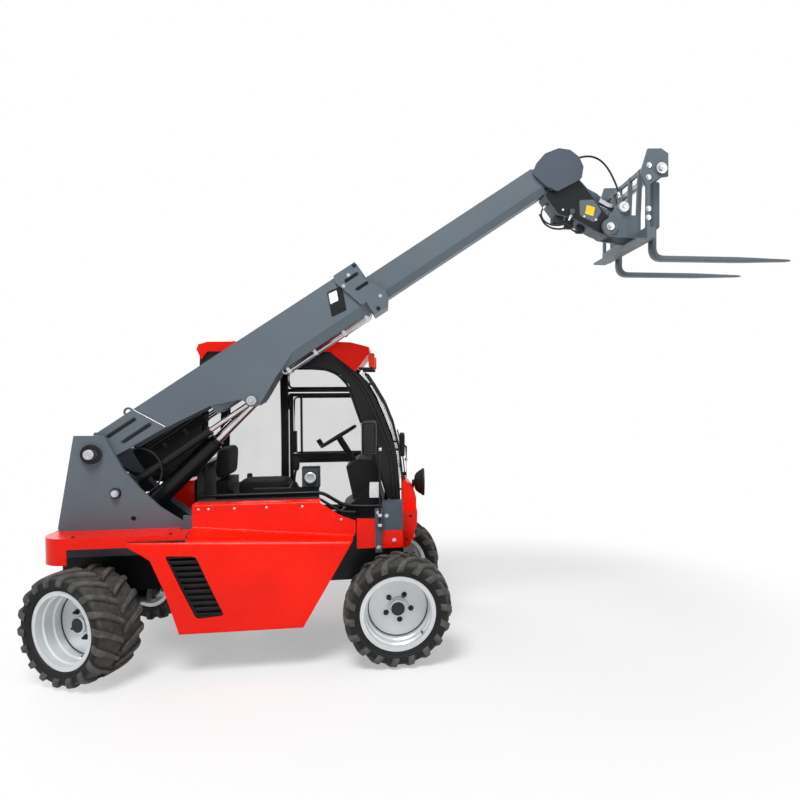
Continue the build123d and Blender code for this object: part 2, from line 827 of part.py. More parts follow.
def cab_door():
    """Door frame on the left-hand side, with its belt rail, sliding-pane edge, lock and handle."""
    y = (cab_left - 32, cab_left)
    shape = door_sheet(0, y) - door_sheet(28, (y[0] - 1, y[1] + 1))
    shape += block((door_rear_x + 10, -300), y, (belt_z, belt_z + 66)) & door_sheet(4, y)
    shape += block((-1074, -1058), (cab_left - 30, cab_left - 5 - seat_gap), (belt_z + 60, header_z - 20))
    shape += block((door_rear_x + 20, -1100), (y[0] - 22, y[1] - 6), (1230, 1400))
    shape += block((-560, -470), (cab_left, cab_left + 22), (belt_z + 18, belt_z + 46))
    for z in door_hinge_z:
        shape += rod((door_hinge_x, door_hinge_y, z), (door_hinge_x, door_hinge_y, z + 60), 9)
        shape += block((door_hinge_x, door_rear_x + 20), (cab_left, door_hinge_y + 4), (z, z + 60))
    return shape


def door_glass():
    y = (cab_left - 5, cab_left - 1)
    pane = door_sheet(28 + seat_gap, y) - block((-1160, -1090), (y[0] - 1, y[1] + 1), (1225, 1405))
    lower = pane & block((-1300, 0), y, (700, belt_z - seat_gap))
    upper = pane & block((-1300, 0), y, (belt_z + 66 + seat_gap, 2000))
    return lower, upper


def front_guard():
    """Bars that carry the mesh in front of the windscreen."""
    shape = None
    for y in ((cab_right - 12, cab_right - seat_gap), (cab_left + seat_gap, cab_left + 12)):
        side = post(guard_line, y, 14)
        for px, pz in (guard_line[1], guard_line[4]):
            side += block((px - 90, px - 4), y, (pz - 8, pz + 8))
        shape = side if shape is None else shape + side
    for px, pz in shifted(guard_line, 7):
        shape += rod((px, cab_right - 6, pz), (px, cab_left + 6, pz), 5)
    return shape


def seat():
    cushion = block((-1500, -1090), (115, 555), (962, 1070))
    back = side_plate([(-1630, 1080), (-1618, 1320), (-1560, 1330), (-1505, 1080)], (115, 555))
    return fillet(cushion.edges(), 28), fillet(back.edges(), 24)


def seat_base():
    shape = block((-1480, -1130), (150, 520), (cab_floor_z, 920))
    shape += block((-1600, -1110), (125, 545), (920, 961.7))
    return shape + block((-1600, -1520), (150, 520), (920, 1079.7))


def console():
    """Right-hand console with its control box, and the dash with the steering column."""
    side = block((-1330, -880), (cab_right + 56, cab_right + 130), (cab_floor_z, 1030))
    side += block((-992, -872), (cab_right + 56, cab_right + 136), (1030, 1178))
    side += rod((-932, cab_right + 30, 1106), (-932, cab_right + 60, 1106), 44)
    dash = [(-690, 1165), (-600, 1222), (-450, 1196), (-440, 930), (-640, 925)]
    panel = side_plate(dash, (120, 540)) - side_plate(floor_ramp, (0, 640))
    start = [c - 240 * d for c, d in zip(wheel_centre, column_axis)]
    end = [c - 15.3 * d for c, d in zip(wheel_centre, column_axis)]
    return side, panel + rod(start, end, 24)


def steering_wheel():
    place = Plane(origin=wheel_centre, z_dir=column_axis)
    shape = place * Torus(144, 12)
    shape += place * Cylinder(34, 30)
    for turn in (90, 210, 330):
        spoke = Rot(0, 0, turn) * Pos(76, 0, 0) * Box(130, 22, 10)
        shape += place * spoke
    knob = place * Rot(0, 0, 170) * Pos(144, 0, 34) * Cylinder(18, 48)
    return shape + knob


def mirrors():
    """Door mirrors on stalks, one at each front corner."""
    right = rod((-442, -486.3, 836), (-442, -486.3, 1372), 8)
    right += fillet(block((-552, -456), (-570, -430), (1311, 1533)).edges(), 16)
    right += rod((-470, -486, 1364), (-440, -486, 1364), 12)
    left = rod((-240, cab_left + 30, 884), (-240, cab_left + 30, 1300), 8)
    left += rod((-308, cab_left + seat_gap, 905), (-308, cab_left + 38, 905), 8)
    left += rod((-308, cab_left + 30, 905), (-236, cab_left + 30, 905), 8)
    left += fillet(block((-298, -248), (cab_left + 20, cab_left + 150), (1172, 1366)).edges(), 14)
    return right, left


def work_lamp():
    """Round lamp on a short stalk at the left end of the nose panel."""
    x, y, z = -206, 226, 1027
    bowl = Pos(x + 48, y, z) * Rot(0, 90, 0) * Cone(56, 100, 60)
    bowl += rod((x + 74, y, z), (x + 88, y, z), 103)
    bowl += rod((x - 2, y, z), (x + 46, y, z), 19)
    stalk = rod((x + 5, y, 962), (x + 5, y, z), 8)
    return bowl + stalk - side_plate([(px, pz + seat_gap) for px, pz in nose_section], (0, 250))


def marker_lamps():
    lamps = []
    for y in ((cab_right - 34, cab_right + 6), (cab_left - 6, cab_left + 34)):
        lamp = fillet(block((-521, -473), y, (1884, 1990)).edges(), 12)
        lamp += block((-591.7, -482), (y[0] + 12, y[1] - 12), (1866, 1886))
        lamp -= block((-530, -505), y, (1960, 2000))
        lamps.append(lamp)
    return lamps


save("cab_frame", cab_frame())
save("cab_floor", cab_floor())
save("cab_roof", cab_roof())
save("cab_glass", *cab_glass())
save("cab_door", cab_door())
save("door_glass", *door_glass())
save("front_guard", front_guard())
save("seat", *seat())
save("seat_base", seat_base())
save("console", *console())
save("steering_wheel", steering_wheel())
save("mirrors", *mirrors())
save("lamps", work_lamp(), *marker_lamps())


# ---------------------------------------------------------------- boom
boom_place = Location((pivot_x, boom_y, pivot_z), (0, -boom_angle, 0))


def boom_section(u, half, top, shoulder, bottom, toe, inset=0):
    """Box section with sloping lower corners."""
    points = [
        (-half + inset, top - inset),
        (half - inset, top - inset),
        (half - inset, shoulder + inset * 0.3),
        (toe - inset * 0.7, bottom + inset),
        (-toe + inset * 0.7, bottom + inset),
        (-half + inset, shoulder + inset * 0.3),
    ]
    return make_face(Polyline(*[(u, y, w) for y, w in points], close=True))


def boom_tube(u, size, open_rear=True):
    length = u[1] - u[0]
    outer = extrude(boom_section(u[0], *size), amount=length, dir=(1, 0, 0))
    start = u[0] - 1 if open_rear else u[0] + boom_wall
    inner = extrude(boom_section(start, *size, inset=boom_wall), amount=u[1] + 1 - start, dir=(1, 0, 0))
    return outer - inner


outer_size = (outer_half_width, outer_top, outer_shoulder, outer_bottom, outer_toe)
inner_size = (
    outer_half_width - boom_wall - stage_gap,
    -8,
    outer_shoulder,
    outer_bottom + boom_wall + stage_gap * 0.5,
    outer_toe - boom_wall - stage_gap + 4,
)


open_rear = [
    # u, w of the part cut away below the rear of the outer stage, where the cylinders enter
    (outer_rear_u - 1, -300),
    (outer_rear_u - 1, -74),
    (73, -84),
    (440, -110),
    (739, -149),
    (739, -300),
]
underside_slots = [
    # u, y of the openings that the cylinders swing through
    ((738, 1110), (-86, -14)),
    ((738, 1110), (10, 92)),
]


def outer_boom():
    shape = boom_tube((outer_rear_u, outer_front_u), outer_size)
    ear = [
        # u, w of the plates that carry the lift pin
        (740, -149),
        (918, -222),
        (944, -298),
        (1000, -312),
        (1040, -296),
        (1181, -228),
        (1375, -149),
    ]
    stiffener = [(-60, 86), (345, 100), (440, -107), (73, -82), (-60, -60)]
    slots = [((110, 42), (330, 40)), ((165, -38), (385, -40))]
    for side in (-1, 1):
        y = sorted((side * outer_half_width, side * (outer_half_width - 14)))
        shape += side_plate(ear, y)
        y = sorted((side * outer_half_width, side * (outer_half_width + 10)))
        plate = side_plate(stiffener, y)
        for (u0, w0), (u1, w1) in slots:
            cut = block((u0, u1), (y[0] - 1, y[1] + 1), (w0 - 13, w0 + 13))
            plate -= fillet(cut.edges().filter_by(Axis.Y), 12.9)
        shape += plate
        boss = sorted((side * (outer_half_width - 14), side * (outer_half_width + 14)))
        shape += pin(lift_pin_u, lift_pin_w, boss, 40)
        hub_y = sorted((side * (outer_half_width - 12), side * (pedestal_inner - 6)))
        shape += pin(0, 0, hub_y, pivot_hub_radius)
    shape += side_plate(ear, (-4, 10))
    shape -= extrude(boom_section(outer_rear_u, *outer_size, inset=boom_wall), amount=2200, dir=(1, 0, 0))
    shape -= side_plate(open_rear, (-outer_half_width - 1, outer_half_width + 1))
    for u, y in underside_slots:
        shape -= block(u, y, (outer_bottom - 1, outer_bottom + boom_wall + 1))
    shape -= pin(0, 0, (-200, 200), pivot_pin_radius + pin_gap)
    for side in (-1, 1):
        tube_y = sorted((side * (outer_half_width - 40), side * (pedestal_inner - 6)))
        shape += pin(0, 0, tube_y, pivot_hub_radius) - pin(0, 0, (-200, 200), pivot_pin_radius + pin_gap)
    eye = Pos(275, 0, outer_top + 22) * Rot(90, 0, 0) * Torus(24, 7)
    return shape + eye


def boom_collar():
    """Reinforcing collar with its wear pads at the mouth of the outer stage."""
    outline = [
        (1852, 73),
        (1868, 112),
        (2036, 112),
        (2036, 32),
        (2024, -13),
        (2096, -157),
        (2085, -207),
        (2051, -250),
        (1944, -250),
        (1949, -150),
        (1911, -147),
    ]
    half = outer_half_width + 15
    shape = side_plate(outline, (-half, half), 0)
    core = extrude(boom_section(1800, *outer_size), amount=outer_front_u - 1800, dir=(1, 0, 0))
    shape -= core
    half_in, top_in, shoulder_in, bottom_in, toe_in = inner_size
    tight = (
        half_in + pad_clearance,
        top_in + pad_clearance,
        shoulder_in,
        bottom_in - pad_clearance,
        toe_in + pad_clearance,
    )
    shape -= extrude(boom_section(outer_front_u - 1, *tight), amount=200, dir=(1, 0, 0))
    for side in (-1, 1):
        y = sorted((side * (outer_half_width - 1), side * (half + 1)))
        for u, w in ((1905, 40), (1935, -45)):
            cut = block((u, u + 110), y, (w - 12, w + 12))
            shape -= fillet(cut.edges().filter_by(Axis.Y), 11.9)
    return shape


def inner_boom():
    shape = boom_tube((inner_rear_u, inner_front_u), inner_size)
    return shape


head_outline = [
    # u-free outline in x and z of the round side plates of the head
    (613, 3217),
    (640, 3290),
    (700, 3360),
    (798, 3402),
    (880, 3395),
    (945, 3350),
    (977, 3283),
    (963, 3199),
    (790, 3104),
    (705, 3139),
]


def boom_head():
    """Head plates and the down-turned neck that carries the carriage pivot."""
    shape = None
    inner_half = inner_size[0]
    for side in (-1, 1):
        face = boom_y + side * (inner_half + pin_gap)
        y = sorted((face, face + side * 24))
        wall = side_plate(head_outline, y, 24)
        shape = wall if shape is None else shape + wall
    neck = [
        (700, 3080),
        (765, 3190),
        (930, 3230),
        (1010, 3150),
        (1120, 3010),
        (1225, 2905),
        (1220, 2830),
        (1160, 2815),
        (1080, 2840),
        (900, 2930),
        (800, 2950),
    ]
    half = 88
    body = side_plate(neck, (boom_y - half, boom_y + half))
    slot = [(760, 3290), (700, 3180), (860, 3120), (1110, 2960), (1300, 2900), (1300, 3100), (1000, 3300)]
    body -= side_plate(slot, (boom_y - 60, boom_y + 60))
    body += pin(head_hub_x, head_hub_z, (boom_y - 94 + seat_gap, boom_y + 94 - seat_gap), 52)
    beam = (
        inner_half + pin_gap,
        inner_size[1] + 30,
        inner_size[2],
        inner_size[3] - pin_gap,
        inner_size[4] + 1,
    )
    beam_clear = boom_place * extrude(
        boom_section(inner_rear_u, *beam),
        amount=inner_front_u + pin_gap - inner_rear_u,
        dir=(1, 0, 0),
    )
    bridge_y = (boom_y - inner_half - 1, boom_y + inner_half + 1)
    bridge = side_plate([(740, 3110), (720, 3200), (900, 3290), (960, 3200)], bridge_y)
    bridge -= side_plate(slot, (boom_y - 60, boom_y + 60))
    shape = shape + body + bridge
    shape += pin(tilt_base_x, tilt_base_z, (boom_y - 60, boom_y + 60), 20)
    shape += gland(head_hose, 52, 11) + gland(neck_hose, 24, 10) + gland(neck_hose[::-1], 16, 10)
    shape += block((884, 916), (boom_y - 113, boom_y - half + 1), (2958, 2990))
    return shape - beam_clear


def boom_pipes():
    """Steel pipes clipped under the outer stage."""
    top = outer_bottom - seat_gap
    low = outer_bottom - 26
    shape = None
    for y in (-62, -36, -10, 16, 42):
        run = pipe([(1232, y, top), (1232, y, low), (1925, y, low), (1925, y, top)], 8, 16)
        shape = run if shape is None else shape + run
    for u in (1260, 1470, 1700, 1880):
        shape += block((u, u + 22), (-76, 56), (low - 12, top))
    return shape


hose_block = block((-2062, -2042), (boom_y - outer_half_width + boom_wall - 1, -280), (1360, 1386))
hose_block += gland(lift_hose, 14, 10, seat_gap)
save("outer_boom", boom_place * outer_boom() + hose_block)
save("boom_pipes", boom_place * boom_pipes())
save("boom_collar", boom_place * boom_collar())
save("inner_boom", boom_place * inner_boom())
save("boom_head", boom_head())


# ---------------------------------------------------------------- cylinders
def on_boom(u, w):
    a = math.radians(boom_angle)
    return pivot_x + u * math.cos(a) - w * math.sin(a), pivot_z + u * math.sin(a) + w * math.cos(a)


lift_eye = on_boom(lift_pin_u, lift_pin_w)
cylinders = [
    # name, base pin (x, z), base pin radius, rod eye (x, z), y, barrel radius, barrel length,
    # start of the rod inside the barrel, rod radius, eye radius, eye width
    ("lift", (lift_base_x, lift_base_z), 24, lift_eye, boom_y + 52, 58, 640, 405, 32, 36, 68),
    ("level", (level_base_x, level_base_z), 20, lift_eye, boom_y - 50, 28, 640, 400, 17, 30, 60),
    ("tilt", (tilt_base_x, tilt_base_z), 20, (tilt_pin_x, tilt_pin_z), boom_y, 42, 330, 180, 23, 34, 56),
]


def barrel(length, radius, pin_radius, eye_width, rod_radius):
    """Cylinder tube along +X from its base pin at the origin."""
    shape = rod((pin_radius + 14, 0, 0), (length, 0, 0), radius)
    shape += pin(0, 0, (-eye_width / 2, eye_width / 2), pin_radius + 20)
    shape += rod((0, 0, 0), (pin_radius + 30, 0, 0), min(radius, pin_radius + 18))
    shape += rod((length, 0, 0), (length + 26, 0, 0), rod_radius + 14)
    shape -= pin(0, 0, (-eye_width, eye_width), pin_radius + pin_gap)
    shape -= rod((pin_radius + 42, 0, 0), (length + 40, 0, 0), rod_radius + pin_gap)
    return shape


def piston_rod(start, end, radius, eye_radius, eye_width):
    shape = rod((start, 0, 0), (end, 0, 0), radius)
    return shape + pin(end, 0, (-eye_width / 2, eye_width / 2), eye_radius)


for name, base, pin_radius, eye, y, radius, length, start, rod_radius, eye_radius, eye_width in cylinders:
    reach = math.hypot(eye[0] - base[0], eye[1] - base[1])
    slope = math.degrees(math.atan2(eye[1] - base[1], eye[0] - base[0]))
    place = Location((base[0], y, base[1]), (0, -slope, 0))
    save(f"{name}_barrel", place * barrel(length, radius, pin_radius, eye_width, rod_radius))
    save(f"{name}_rod", place * piston_rod(start, reach, rod_radius, eye_radius, eye_width))


# ---------------------------------------------------------------- carriage and forks
def fork_carriage():
    """Frame with ears for the pivot and the tilt pin, and a shaft for the forks."""
    shape = None
    for side in (-1, 1):
        y = sorted((boom_y + side * 94, boom_y + side * 116))
        ear = [(1120, 2874), (1150, 2920), (1232, 3040), (1270, 3054), (1312, 3013), (1330, 2960)]
        ear += [(1400, 2960), (1400, 2790), (1180, 2812), (1130, 2830)]
        wall = side_plate(ear, y, 8)
        wall += pin(head_hub_x, head_hub_z, sorted((boom_y + side * 94, boom_y + side * 130)), 56)
        shape = wall if shape is None else shape + wall
    shape += block((1376, 1437), (-carriage_half_width, carriage_half_width), (2762, 2842))
    shape += block((1300, 1400), (-carriage_half_width, carriage_half_width), (2748, 2762))
    upright = [
        (1376, 2842),
        (1376, 3000),
        (1384, 3200),
        (1392, 3290),
        (1416, 3290),
        (1416, 3180),
        (1408, 3000),
        (1400, 2842),
    ]
    for y in ((-300, -276), (-104, -80), (120, 144), (276, 300)):
        shape += side_plate(upright, y)
    for side in (-1, 1):
        y = sorted((side * 470, side * 492))
        cheek = [
            (1330, 3200),
            (1384, 3374),
            (1480, 3380),
            (1532, 3348),
            (1532, 3192),
            (1470, 3182),
            (1400, 3130),
            (1400, 2842),
            (1376, 2842),
            (1376, 3110),
        ]
        shape += side_plate(cheek, y)
    shape += block((1396, 1416), (-492, 492), (3262, 3290))
    shape -= pin(fork_shaft_x, fork_shaft_z, (-600, 600), fork_shaft_radius + pin_gap)
    shape += block((1244, 1274), (boom_y - 95, boom_y - 66), (3030, 3066))
    shape += gland(head_hose[::-1], 28, 11, seat_gap)
    return shape


def fork(side):
    """L-shaped fork that hangs on the shaft by an eye."""
    low = fork_heel_z
    outline = [
        (fork_shank_x - 42, 3240),
        (fork_shank_x + 46, 3240),
        (fork_shank_x + 46, low + 60),
        (fork_shank_x + 72, low + fork_thickness),
        (fork_tip_x, low + fork_thickness),
        (fork_tip_x, low + fork_thickness - 8),
        (fork_tip_x - 420, low),
        (fork_shank_x - 16, low),
        (fork_shank_x - 42, low + 30),
    ]
    y = (side * fork_y - fork_width / 2, side * fork_y + fork_width / 2)
    shape = side_plate(outline, y)
    shape -= block((fork_shank_x - 60, fork_shank_x + 6), (y[0] - 1, y[1] + 1), (low + 90, 3170))
    shape += pin(fork_shaft_x, fork_shaft_z, y, 52)
    return shape - pin(fork_shaft_x, fork_shaft_z, (y[0] - 1, y[1] + 1), fork_shaft_radius + pin_gap)


save("head_hose", hose(head_hose, hose_radius))
save("neck_hose", hose(neck_hose, small_hose_radius))
save("lift_hose", hose(lift_hose, small_hose_radius))
save("level_hose", hose(level_hose, small_hose_radius))
save("fork_carriage", fork_carriage())
save("fork_shaft", pin(fork_shaft_x, fork_shaft_z, (-512, 512), fork_shaft_radius))
save("fork_right", fork(-1))
save("fork_left", fork(1))
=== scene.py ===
import bpy
import json
import math
import numpy as np
from mathutils import Matrix, Vector

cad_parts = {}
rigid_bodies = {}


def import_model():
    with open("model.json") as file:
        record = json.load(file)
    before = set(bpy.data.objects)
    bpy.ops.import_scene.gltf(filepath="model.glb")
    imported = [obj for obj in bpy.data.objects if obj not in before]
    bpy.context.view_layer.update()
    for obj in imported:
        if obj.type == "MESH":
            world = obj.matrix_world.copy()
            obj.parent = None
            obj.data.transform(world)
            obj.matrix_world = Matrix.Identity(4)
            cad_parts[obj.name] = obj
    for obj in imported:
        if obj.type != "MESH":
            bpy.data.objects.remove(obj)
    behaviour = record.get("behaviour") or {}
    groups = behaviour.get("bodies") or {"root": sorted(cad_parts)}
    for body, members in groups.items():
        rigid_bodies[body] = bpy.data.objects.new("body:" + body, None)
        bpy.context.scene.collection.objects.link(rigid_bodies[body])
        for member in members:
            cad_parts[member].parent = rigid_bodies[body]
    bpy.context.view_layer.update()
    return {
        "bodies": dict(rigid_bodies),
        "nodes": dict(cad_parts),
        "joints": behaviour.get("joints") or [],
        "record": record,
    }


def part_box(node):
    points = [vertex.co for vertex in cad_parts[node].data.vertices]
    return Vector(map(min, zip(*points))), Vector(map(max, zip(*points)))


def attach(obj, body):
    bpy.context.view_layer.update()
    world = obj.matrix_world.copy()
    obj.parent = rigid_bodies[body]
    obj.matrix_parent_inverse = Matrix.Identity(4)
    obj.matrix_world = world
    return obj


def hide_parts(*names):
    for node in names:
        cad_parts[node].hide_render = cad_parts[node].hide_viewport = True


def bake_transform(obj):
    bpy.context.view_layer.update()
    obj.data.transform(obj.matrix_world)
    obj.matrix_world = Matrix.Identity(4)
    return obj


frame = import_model()
print("frame loaded:", len(frame["nodes"]), "nodes")

# --- camera, light and floor

cameraSpot = dict(
    place=(-0.3804, -5.010, 1.758), yaw=9.209, pitch=1.239, roll=-0.204, lens=30.945, shift=-0.125)


def makeCamera(spot):
    # camera at a place, turned by its yaw, then pitched down and rolled
    yaw, pitch, roll = (math.radians(spot[key]) for key in ("yaw", "pitch", "roll"))
    ahead = Vector((math.sin(yaw) * math.cos(pitch), math.cos(yaw) * math.cos(pitch), -math.sin(pitch)))
    level = Vector((math.cos(yaw), -math.sin(yaw), 0))
    upright = level.cross(ahead)
    right = level * math.cos(roll) + upright * math.sin(roll)
    up = upright * math.cos(roll) - level * math.sin(roll)
    data = bpy.data.cameras.new("camera")
    data.lens, data.shift_x = spot["lens"], spot["shift"]
    camera = bpy.data.objects.new("camera", data)
    bpy.context.collection.objects.link(camera)
    turn = Matrix((right, up, -ahead)).transposed().to_4x4()
    camera.matrix_world = Matrix.Translation(spot["place"]) @ turn
    bpy.context.scene.camera = camera


lampRows = [
    # name, place, target, power in watts, size
    ("skyLamp", (-2.0, -4.5, 8.5), (0, 0, 1.0), 660, 4.0),
    ("sideLamp", (5.5, -6.5, 4.0), (0, 0, 1.2), 120, 4.0),
    ("rearLamp", (-6.0, 6.0, 5.0), (0, 0, 1.0), 190, 4.0),
]


def makeLamp(name, place, target, power, size):
    # round area lamp aimed at its target
    data = bpy.data.lights.new(name, "AREA")
    data.energy, data.shape, data.size = power, "DISK", size
    lamp = bpy.data.objects.new(name, data)
    bpy.context.collection.objects.link(lamp)
    lamp.location = place
    lamp.rotation_euler = (Vector(target) - Vector(place)).to_track_quat("-Z", "Y").to_euler()


makeCamera(cameraSpot)
for lampRow in lampRows:
    makeLamp(*lampRow)
scene = bpy.context.scene
scene.view_settings.view_transform = "Standard"
print("camera and lamps made")


# --- shader maths and materials

class Field:
    # a number that varies over a surface; sums and products on it add Math nodes
    def __init__(self, look, socket):
        self.look, self.socket = look, socket

    def maths(self, operation, first, second):
        return self.look.node("ShaderNodeMath", dict(operation=operation), {0: first, 1: second})

    def __add__(self, other):
        return self.maths("ADD", self, other)

    def __sub__(self, other):
        return self.maths("SUBTRACT", self, other)

    def __rsub__(self, other):
        return self.maths("SUBTRACT", other, self)

    def __mul__(self, other):
        return self.maths("MULTIPLY", self, other)

    __radd__, __rmul__ = __add__, __mul__

    def ramp(self, low, high, start=0.0, end=1.0):
        # smooth step from start to end as the number goes from low to high
        names = {"Value": self, "From Min": low, "From Max": high, "To Min": start, "To Max": end}
        return self.look.node("ShaderNodeMapRange", dict(interpolation_type="SMOOTHSTEP"), names)


class Look:
    # a material whose Principled sockets take plain values or numbers that vary
    def __init__(self, name):
        self.material = bpy.data.materials.new(name)
        self.material.use_nodes = True
        self.tree = self.material.node_tree
        self.shader = self.tree.nodes["Principled BSDF"]
        self.place = self.node("ShaderNodeTexCoord", out="Object")

    def node(self, kind, settings=None, values=None, out=0):
        # a node from its type, its settings, and the values or links of its sockets
        made = self.tree.nodes.new(kind)
        for key, value in (settings or {}).items():
            setattr(made, key, value)
        for key, value in (values or {}).items():
            self.put(made.inputs[key], value)
        return Field(self, made.outputs[out])

    def put(self, socket, value):
        if isinstance(value, Field):
            self.tree.links.new(value.socket, socket)
        elif isinstance(value, tuple) and len(value) == 3 and socket.type == "RGBA":
            socket.default_value = (*value, 1.0)
        else:
            socket.default_value = value

    def set(self, **values):
        # Principled sockets by name, with _ for a space
        for key, value in values.items():
            self.put(self.shader.inputs[key.replace("_", " ")], value)
        return self

    def noise(self, scale, detail=3.0, rough=0.5, at=None):
        values = {"Vector": at or self.place, "Scale": scale, "Detail": detail, "Roughness": rough}
        return self.node("ShaderNodeTexNoise", None, values)

    def mix(self, mask, first, second):
        values = {0: mask, 6: first, 7: second}
        return self.node("ShaderNodeMix", dict(data_type="RGBA"), values, out=2)

    def bump(self, height, strength, distance):
        values = {"Height": height, "Strength": strength, "Distance": distance}
        return self.set(Normal=self.node("ShaderNodeBump", None, values))


def paint(name, colour, dark, rough, coat, peel=0.05, metal=0.0, sheen=0.22):
    # sprayed paint: broad tone shift, fine orange peel, roughness that wanders
    look = Look(name)
    broad = look.noise(1.7, 2.0).ramp(0.35, 0.7)
    fine = look.noise(190.0, 2.0)
    look.set(Base_Color=look.mix(broad, dark, colour),
             Roughness=rough + 0.10 * look.noise(9.0, 4.0).ramp(0.3, 0.8))
    look.set(Metallic=metal, Coat_Weight=coat, Coat_Roughness=0.12, Specular_IOR_Level=sheen)
    return look.bump(fine, peel, 0.0006).material


def plastic(name, colour, rough, grain, scale=900.0):
    # moulded plastic or rubber: slow tone shift under a fine grain
    look = Look(name)
    tone = look.noise(6.0, 3.0).ramp(0.3, 0.8)
    lighter = tuple(channel * 1.35 + 0.003 for channel in colour)
    look.set(Base_Color=look.mix(tone, colour, lighter), Roughness=rough + 0.08 * tone,
             Specular_IOR_Level=0.25)
    return look.bump(look.noise(scale, 2.0), grain, 0.0008).material


def steel(name, colour, rough, brush=0.05):
    # bare metal: noise stretched along x as brushing, over a broad tone
    look = Look(name)
    streak = look.node("ShaderNodeMapping", None, {"Vector": look.place, "Scale": (40.0, 400.0, 400.0)})
    lines = look.noise(1.0, 2.0, at=streak)
    tone = look.noise(14.0, 4.0).ramp(0.3, 0.75)
    darker = tuple(channel * 0.78 for channel in colour)
    look.set(Base_Color=look.mix(tone, darker, colour), Metallic=1.0, Roughness=rough + 0.12 * lines)
    return look.bump(lines, brush, 0.0004).material


def glass(name, colour, alpha):
    # tinted pane: darkens what is behind it, with faint smears
    look = Look(name)
    smear = look.noise(3.0, 3.0).ramp(0.4, 0.75)
    look.set(Base_Color=look.mix(smear, colour, tuple(channel * 1.15 for channel in colour)))
    look.set(Roughness=0.02 + 0.03 * smear, Alpha=alpha + 0.02 * smear, Specular_IOR_Level=0.0)
    return look.material


def treadRubber():
    # black carcass; lug tops paler, partly scuffed rubber and partly painted highlight; the point attribute
    # that marks them is 1 on lug tops
    look = Look("treadRubber")
    scuffAndSheen = look.node("ShaderNodeAttribute", dict(attribute_name="scuffAndSheen"), out="Fac")
    dust = look.noise(22.0, 5.0, 0.6).ramp(0.3, 0.75)
    lugScuffAndSheen = look.mix(dust, (0.050, 0.049, 0.045), (0.125, 0.121, 0.110))
    flank = look.mix(dust, (0.006, 0.006, 0.006), (0.016, 0.016, 0.016))
    look.set(Base_Color=look.mix(scuffAndSheen, flank, lugScuffAndSheen), Roughness=0.62 + 0.2 * dust, Specular_IOR_Level=0.3)
    return look.bump(look.noise(260.0, 4.0, 0.6) + 0.6 * dust, 0.25, 0.001).material


def cloth(name, colour):
    # woven seat cloth: a fine check for the threads, softened by nap
    look = Look(name)
    fine = look.node("ShaderNodeTexChecker", None, {"Vector": look.place, "Scale": 420.0}, out="Fac")
    nap = look.noise(60.0, 4.0).ramp(0.3, 0.8)
    look.set(Base_Color=look.mix(nap, colour, tuple(channel * 1.7 for channel in colour)), Roughness=0.86)
    return look.bump(fine * 0.5 + nap, 0.35, 0.0008).material


looks = dict(
    red=paint("redPaint", (1.0, 0.012, 0.002), (0.86, 0.009, 0.002), 0.26, 0.10, 0.04, 0.0, 0.12),
    slate=paint("slatePaint", (0.120, 0.148, 0.172), (0.106, 0.132, 0.155), 0.42, 0.06),
    slateDark=paint("slateDarkPaint", (0.075, 0.094, 0.120), (0.062, 0.078, 0.100), 0.42, 0.06),
    black=paint("blackPaint", (0.008, 0.009, 0.011), (0.005, 0.006, 0.007), 0.34, 0.10),
    iron=paint("ironPaintAndHubShade", (0.035, 0.037, 0.042), (0.024, 0.026, 0.030), 0.55, 0.0, 0.5),
    silver=paint("silverPaint", (0.72, 0.745, 0.755), (0.64, 0.665, 0.675), 0.28, 0.25, 0.05, 0.35, 0.5),
    chrome=steel("chromeRod", (0.72, 0.72, 0.74), 0.10, 0.02),
    zinc=steel("zincPlate", (0.66, 0.67, 0.69), 0.26),
    plastic=plastic("blackPlastic", (0.012, 0.012, 0.013), 0.50, 0.06),
    trim=plastic("greyPlastic", (0.070, 0.073, 0.075), 0.55, 0.06),
    seal=plastic("sealRubber", (0.009, 0.009, 0.010), 0.30, 0.10, 500.0),
    mesh=plastic("screenMeshAndShadeSheet", (0.006, 0.006, 0.007), 0.65, 0.30, 700.0),
    rubber=plastic("hoseRubber", (0.012, 0.012, 0.013), 0.58, 0.20, 400.0),
    tread=treadRubber(),
    glass=glass("windowGlass", (0.010, 0.012, 0.012), 0.09),
    mirror=steel("mirrorGlass", (0.75, 0.77, 0.78), 0.02, 0.0),
    cloth=cloth("seatCloth", (0.012, 0.012, 0.014)),
    lens=plastic("redLens", (0.78, 0.030, 0.012), 0.12, 0.02),
    clearLens=plastic("clearLens", (0.62, 0.64, 0.66), 0.08, 0.3, 120.0),
    yellow=plastic("yellowSticker", (0.86, 0.52, 0.02), 0.38, 0.03),
    white=plastic("whiteStickerAndHighlight", (0.80, 0.80, 0.79), 0.38, 0.03),
)
print("materials made:", len(looks))

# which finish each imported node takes
finishes = dict(
    red="tail_cover engine_cover front_corner nose_panel cab_roof side_tank",
    slate="outer_boom boom_collar inner_boom boom_pedestal fork_carriage fork_right fork_left",
    slateDark="tilt_barrel boom_head corner_bracket",
    black="cab_frame cab_door front_guard engine_bay chassis_frame tow_hitch lift_barrel level_barrel"
          " front_axle rear_axle front_right_knuckle front_left_knuckle rear_right_knuckle rear_left_knuckle",
    iron="engine_block counterweight",
    silver="front_right_rim front_left_rim rear_right_rim rear_left_rim",
    chrome="lift_rod level_rod tilt_rod",
    zinc="fork_shaft boom_pipes",
    plastic="engine_grille console steering_wheel seat_base mirrors cab_floor",
    rubber="cover_seal head_hose neck_hose lift_hose level_hose",
    tread="front_right_tyre front_left_tyre rear_right_tyre rear_left_tyre",
    glass="cab_glass door_glass",
    cloth="seat",
    lens="lamps",
)
for look, names in finishes.items():
    for name in names.split():
        node = frame["nodes"][name]
        node.data.materials.clear()
        node.data.materials.append(looks[look])


floorSizes = dict(half=30.0, tone=0.92, glowShare=0.40, fadeFrom=1.7, fadeTo=3.3)
worldSizes = dict(strength=0.28, tint=(0.94, 0.97, 1.0, 1.0))


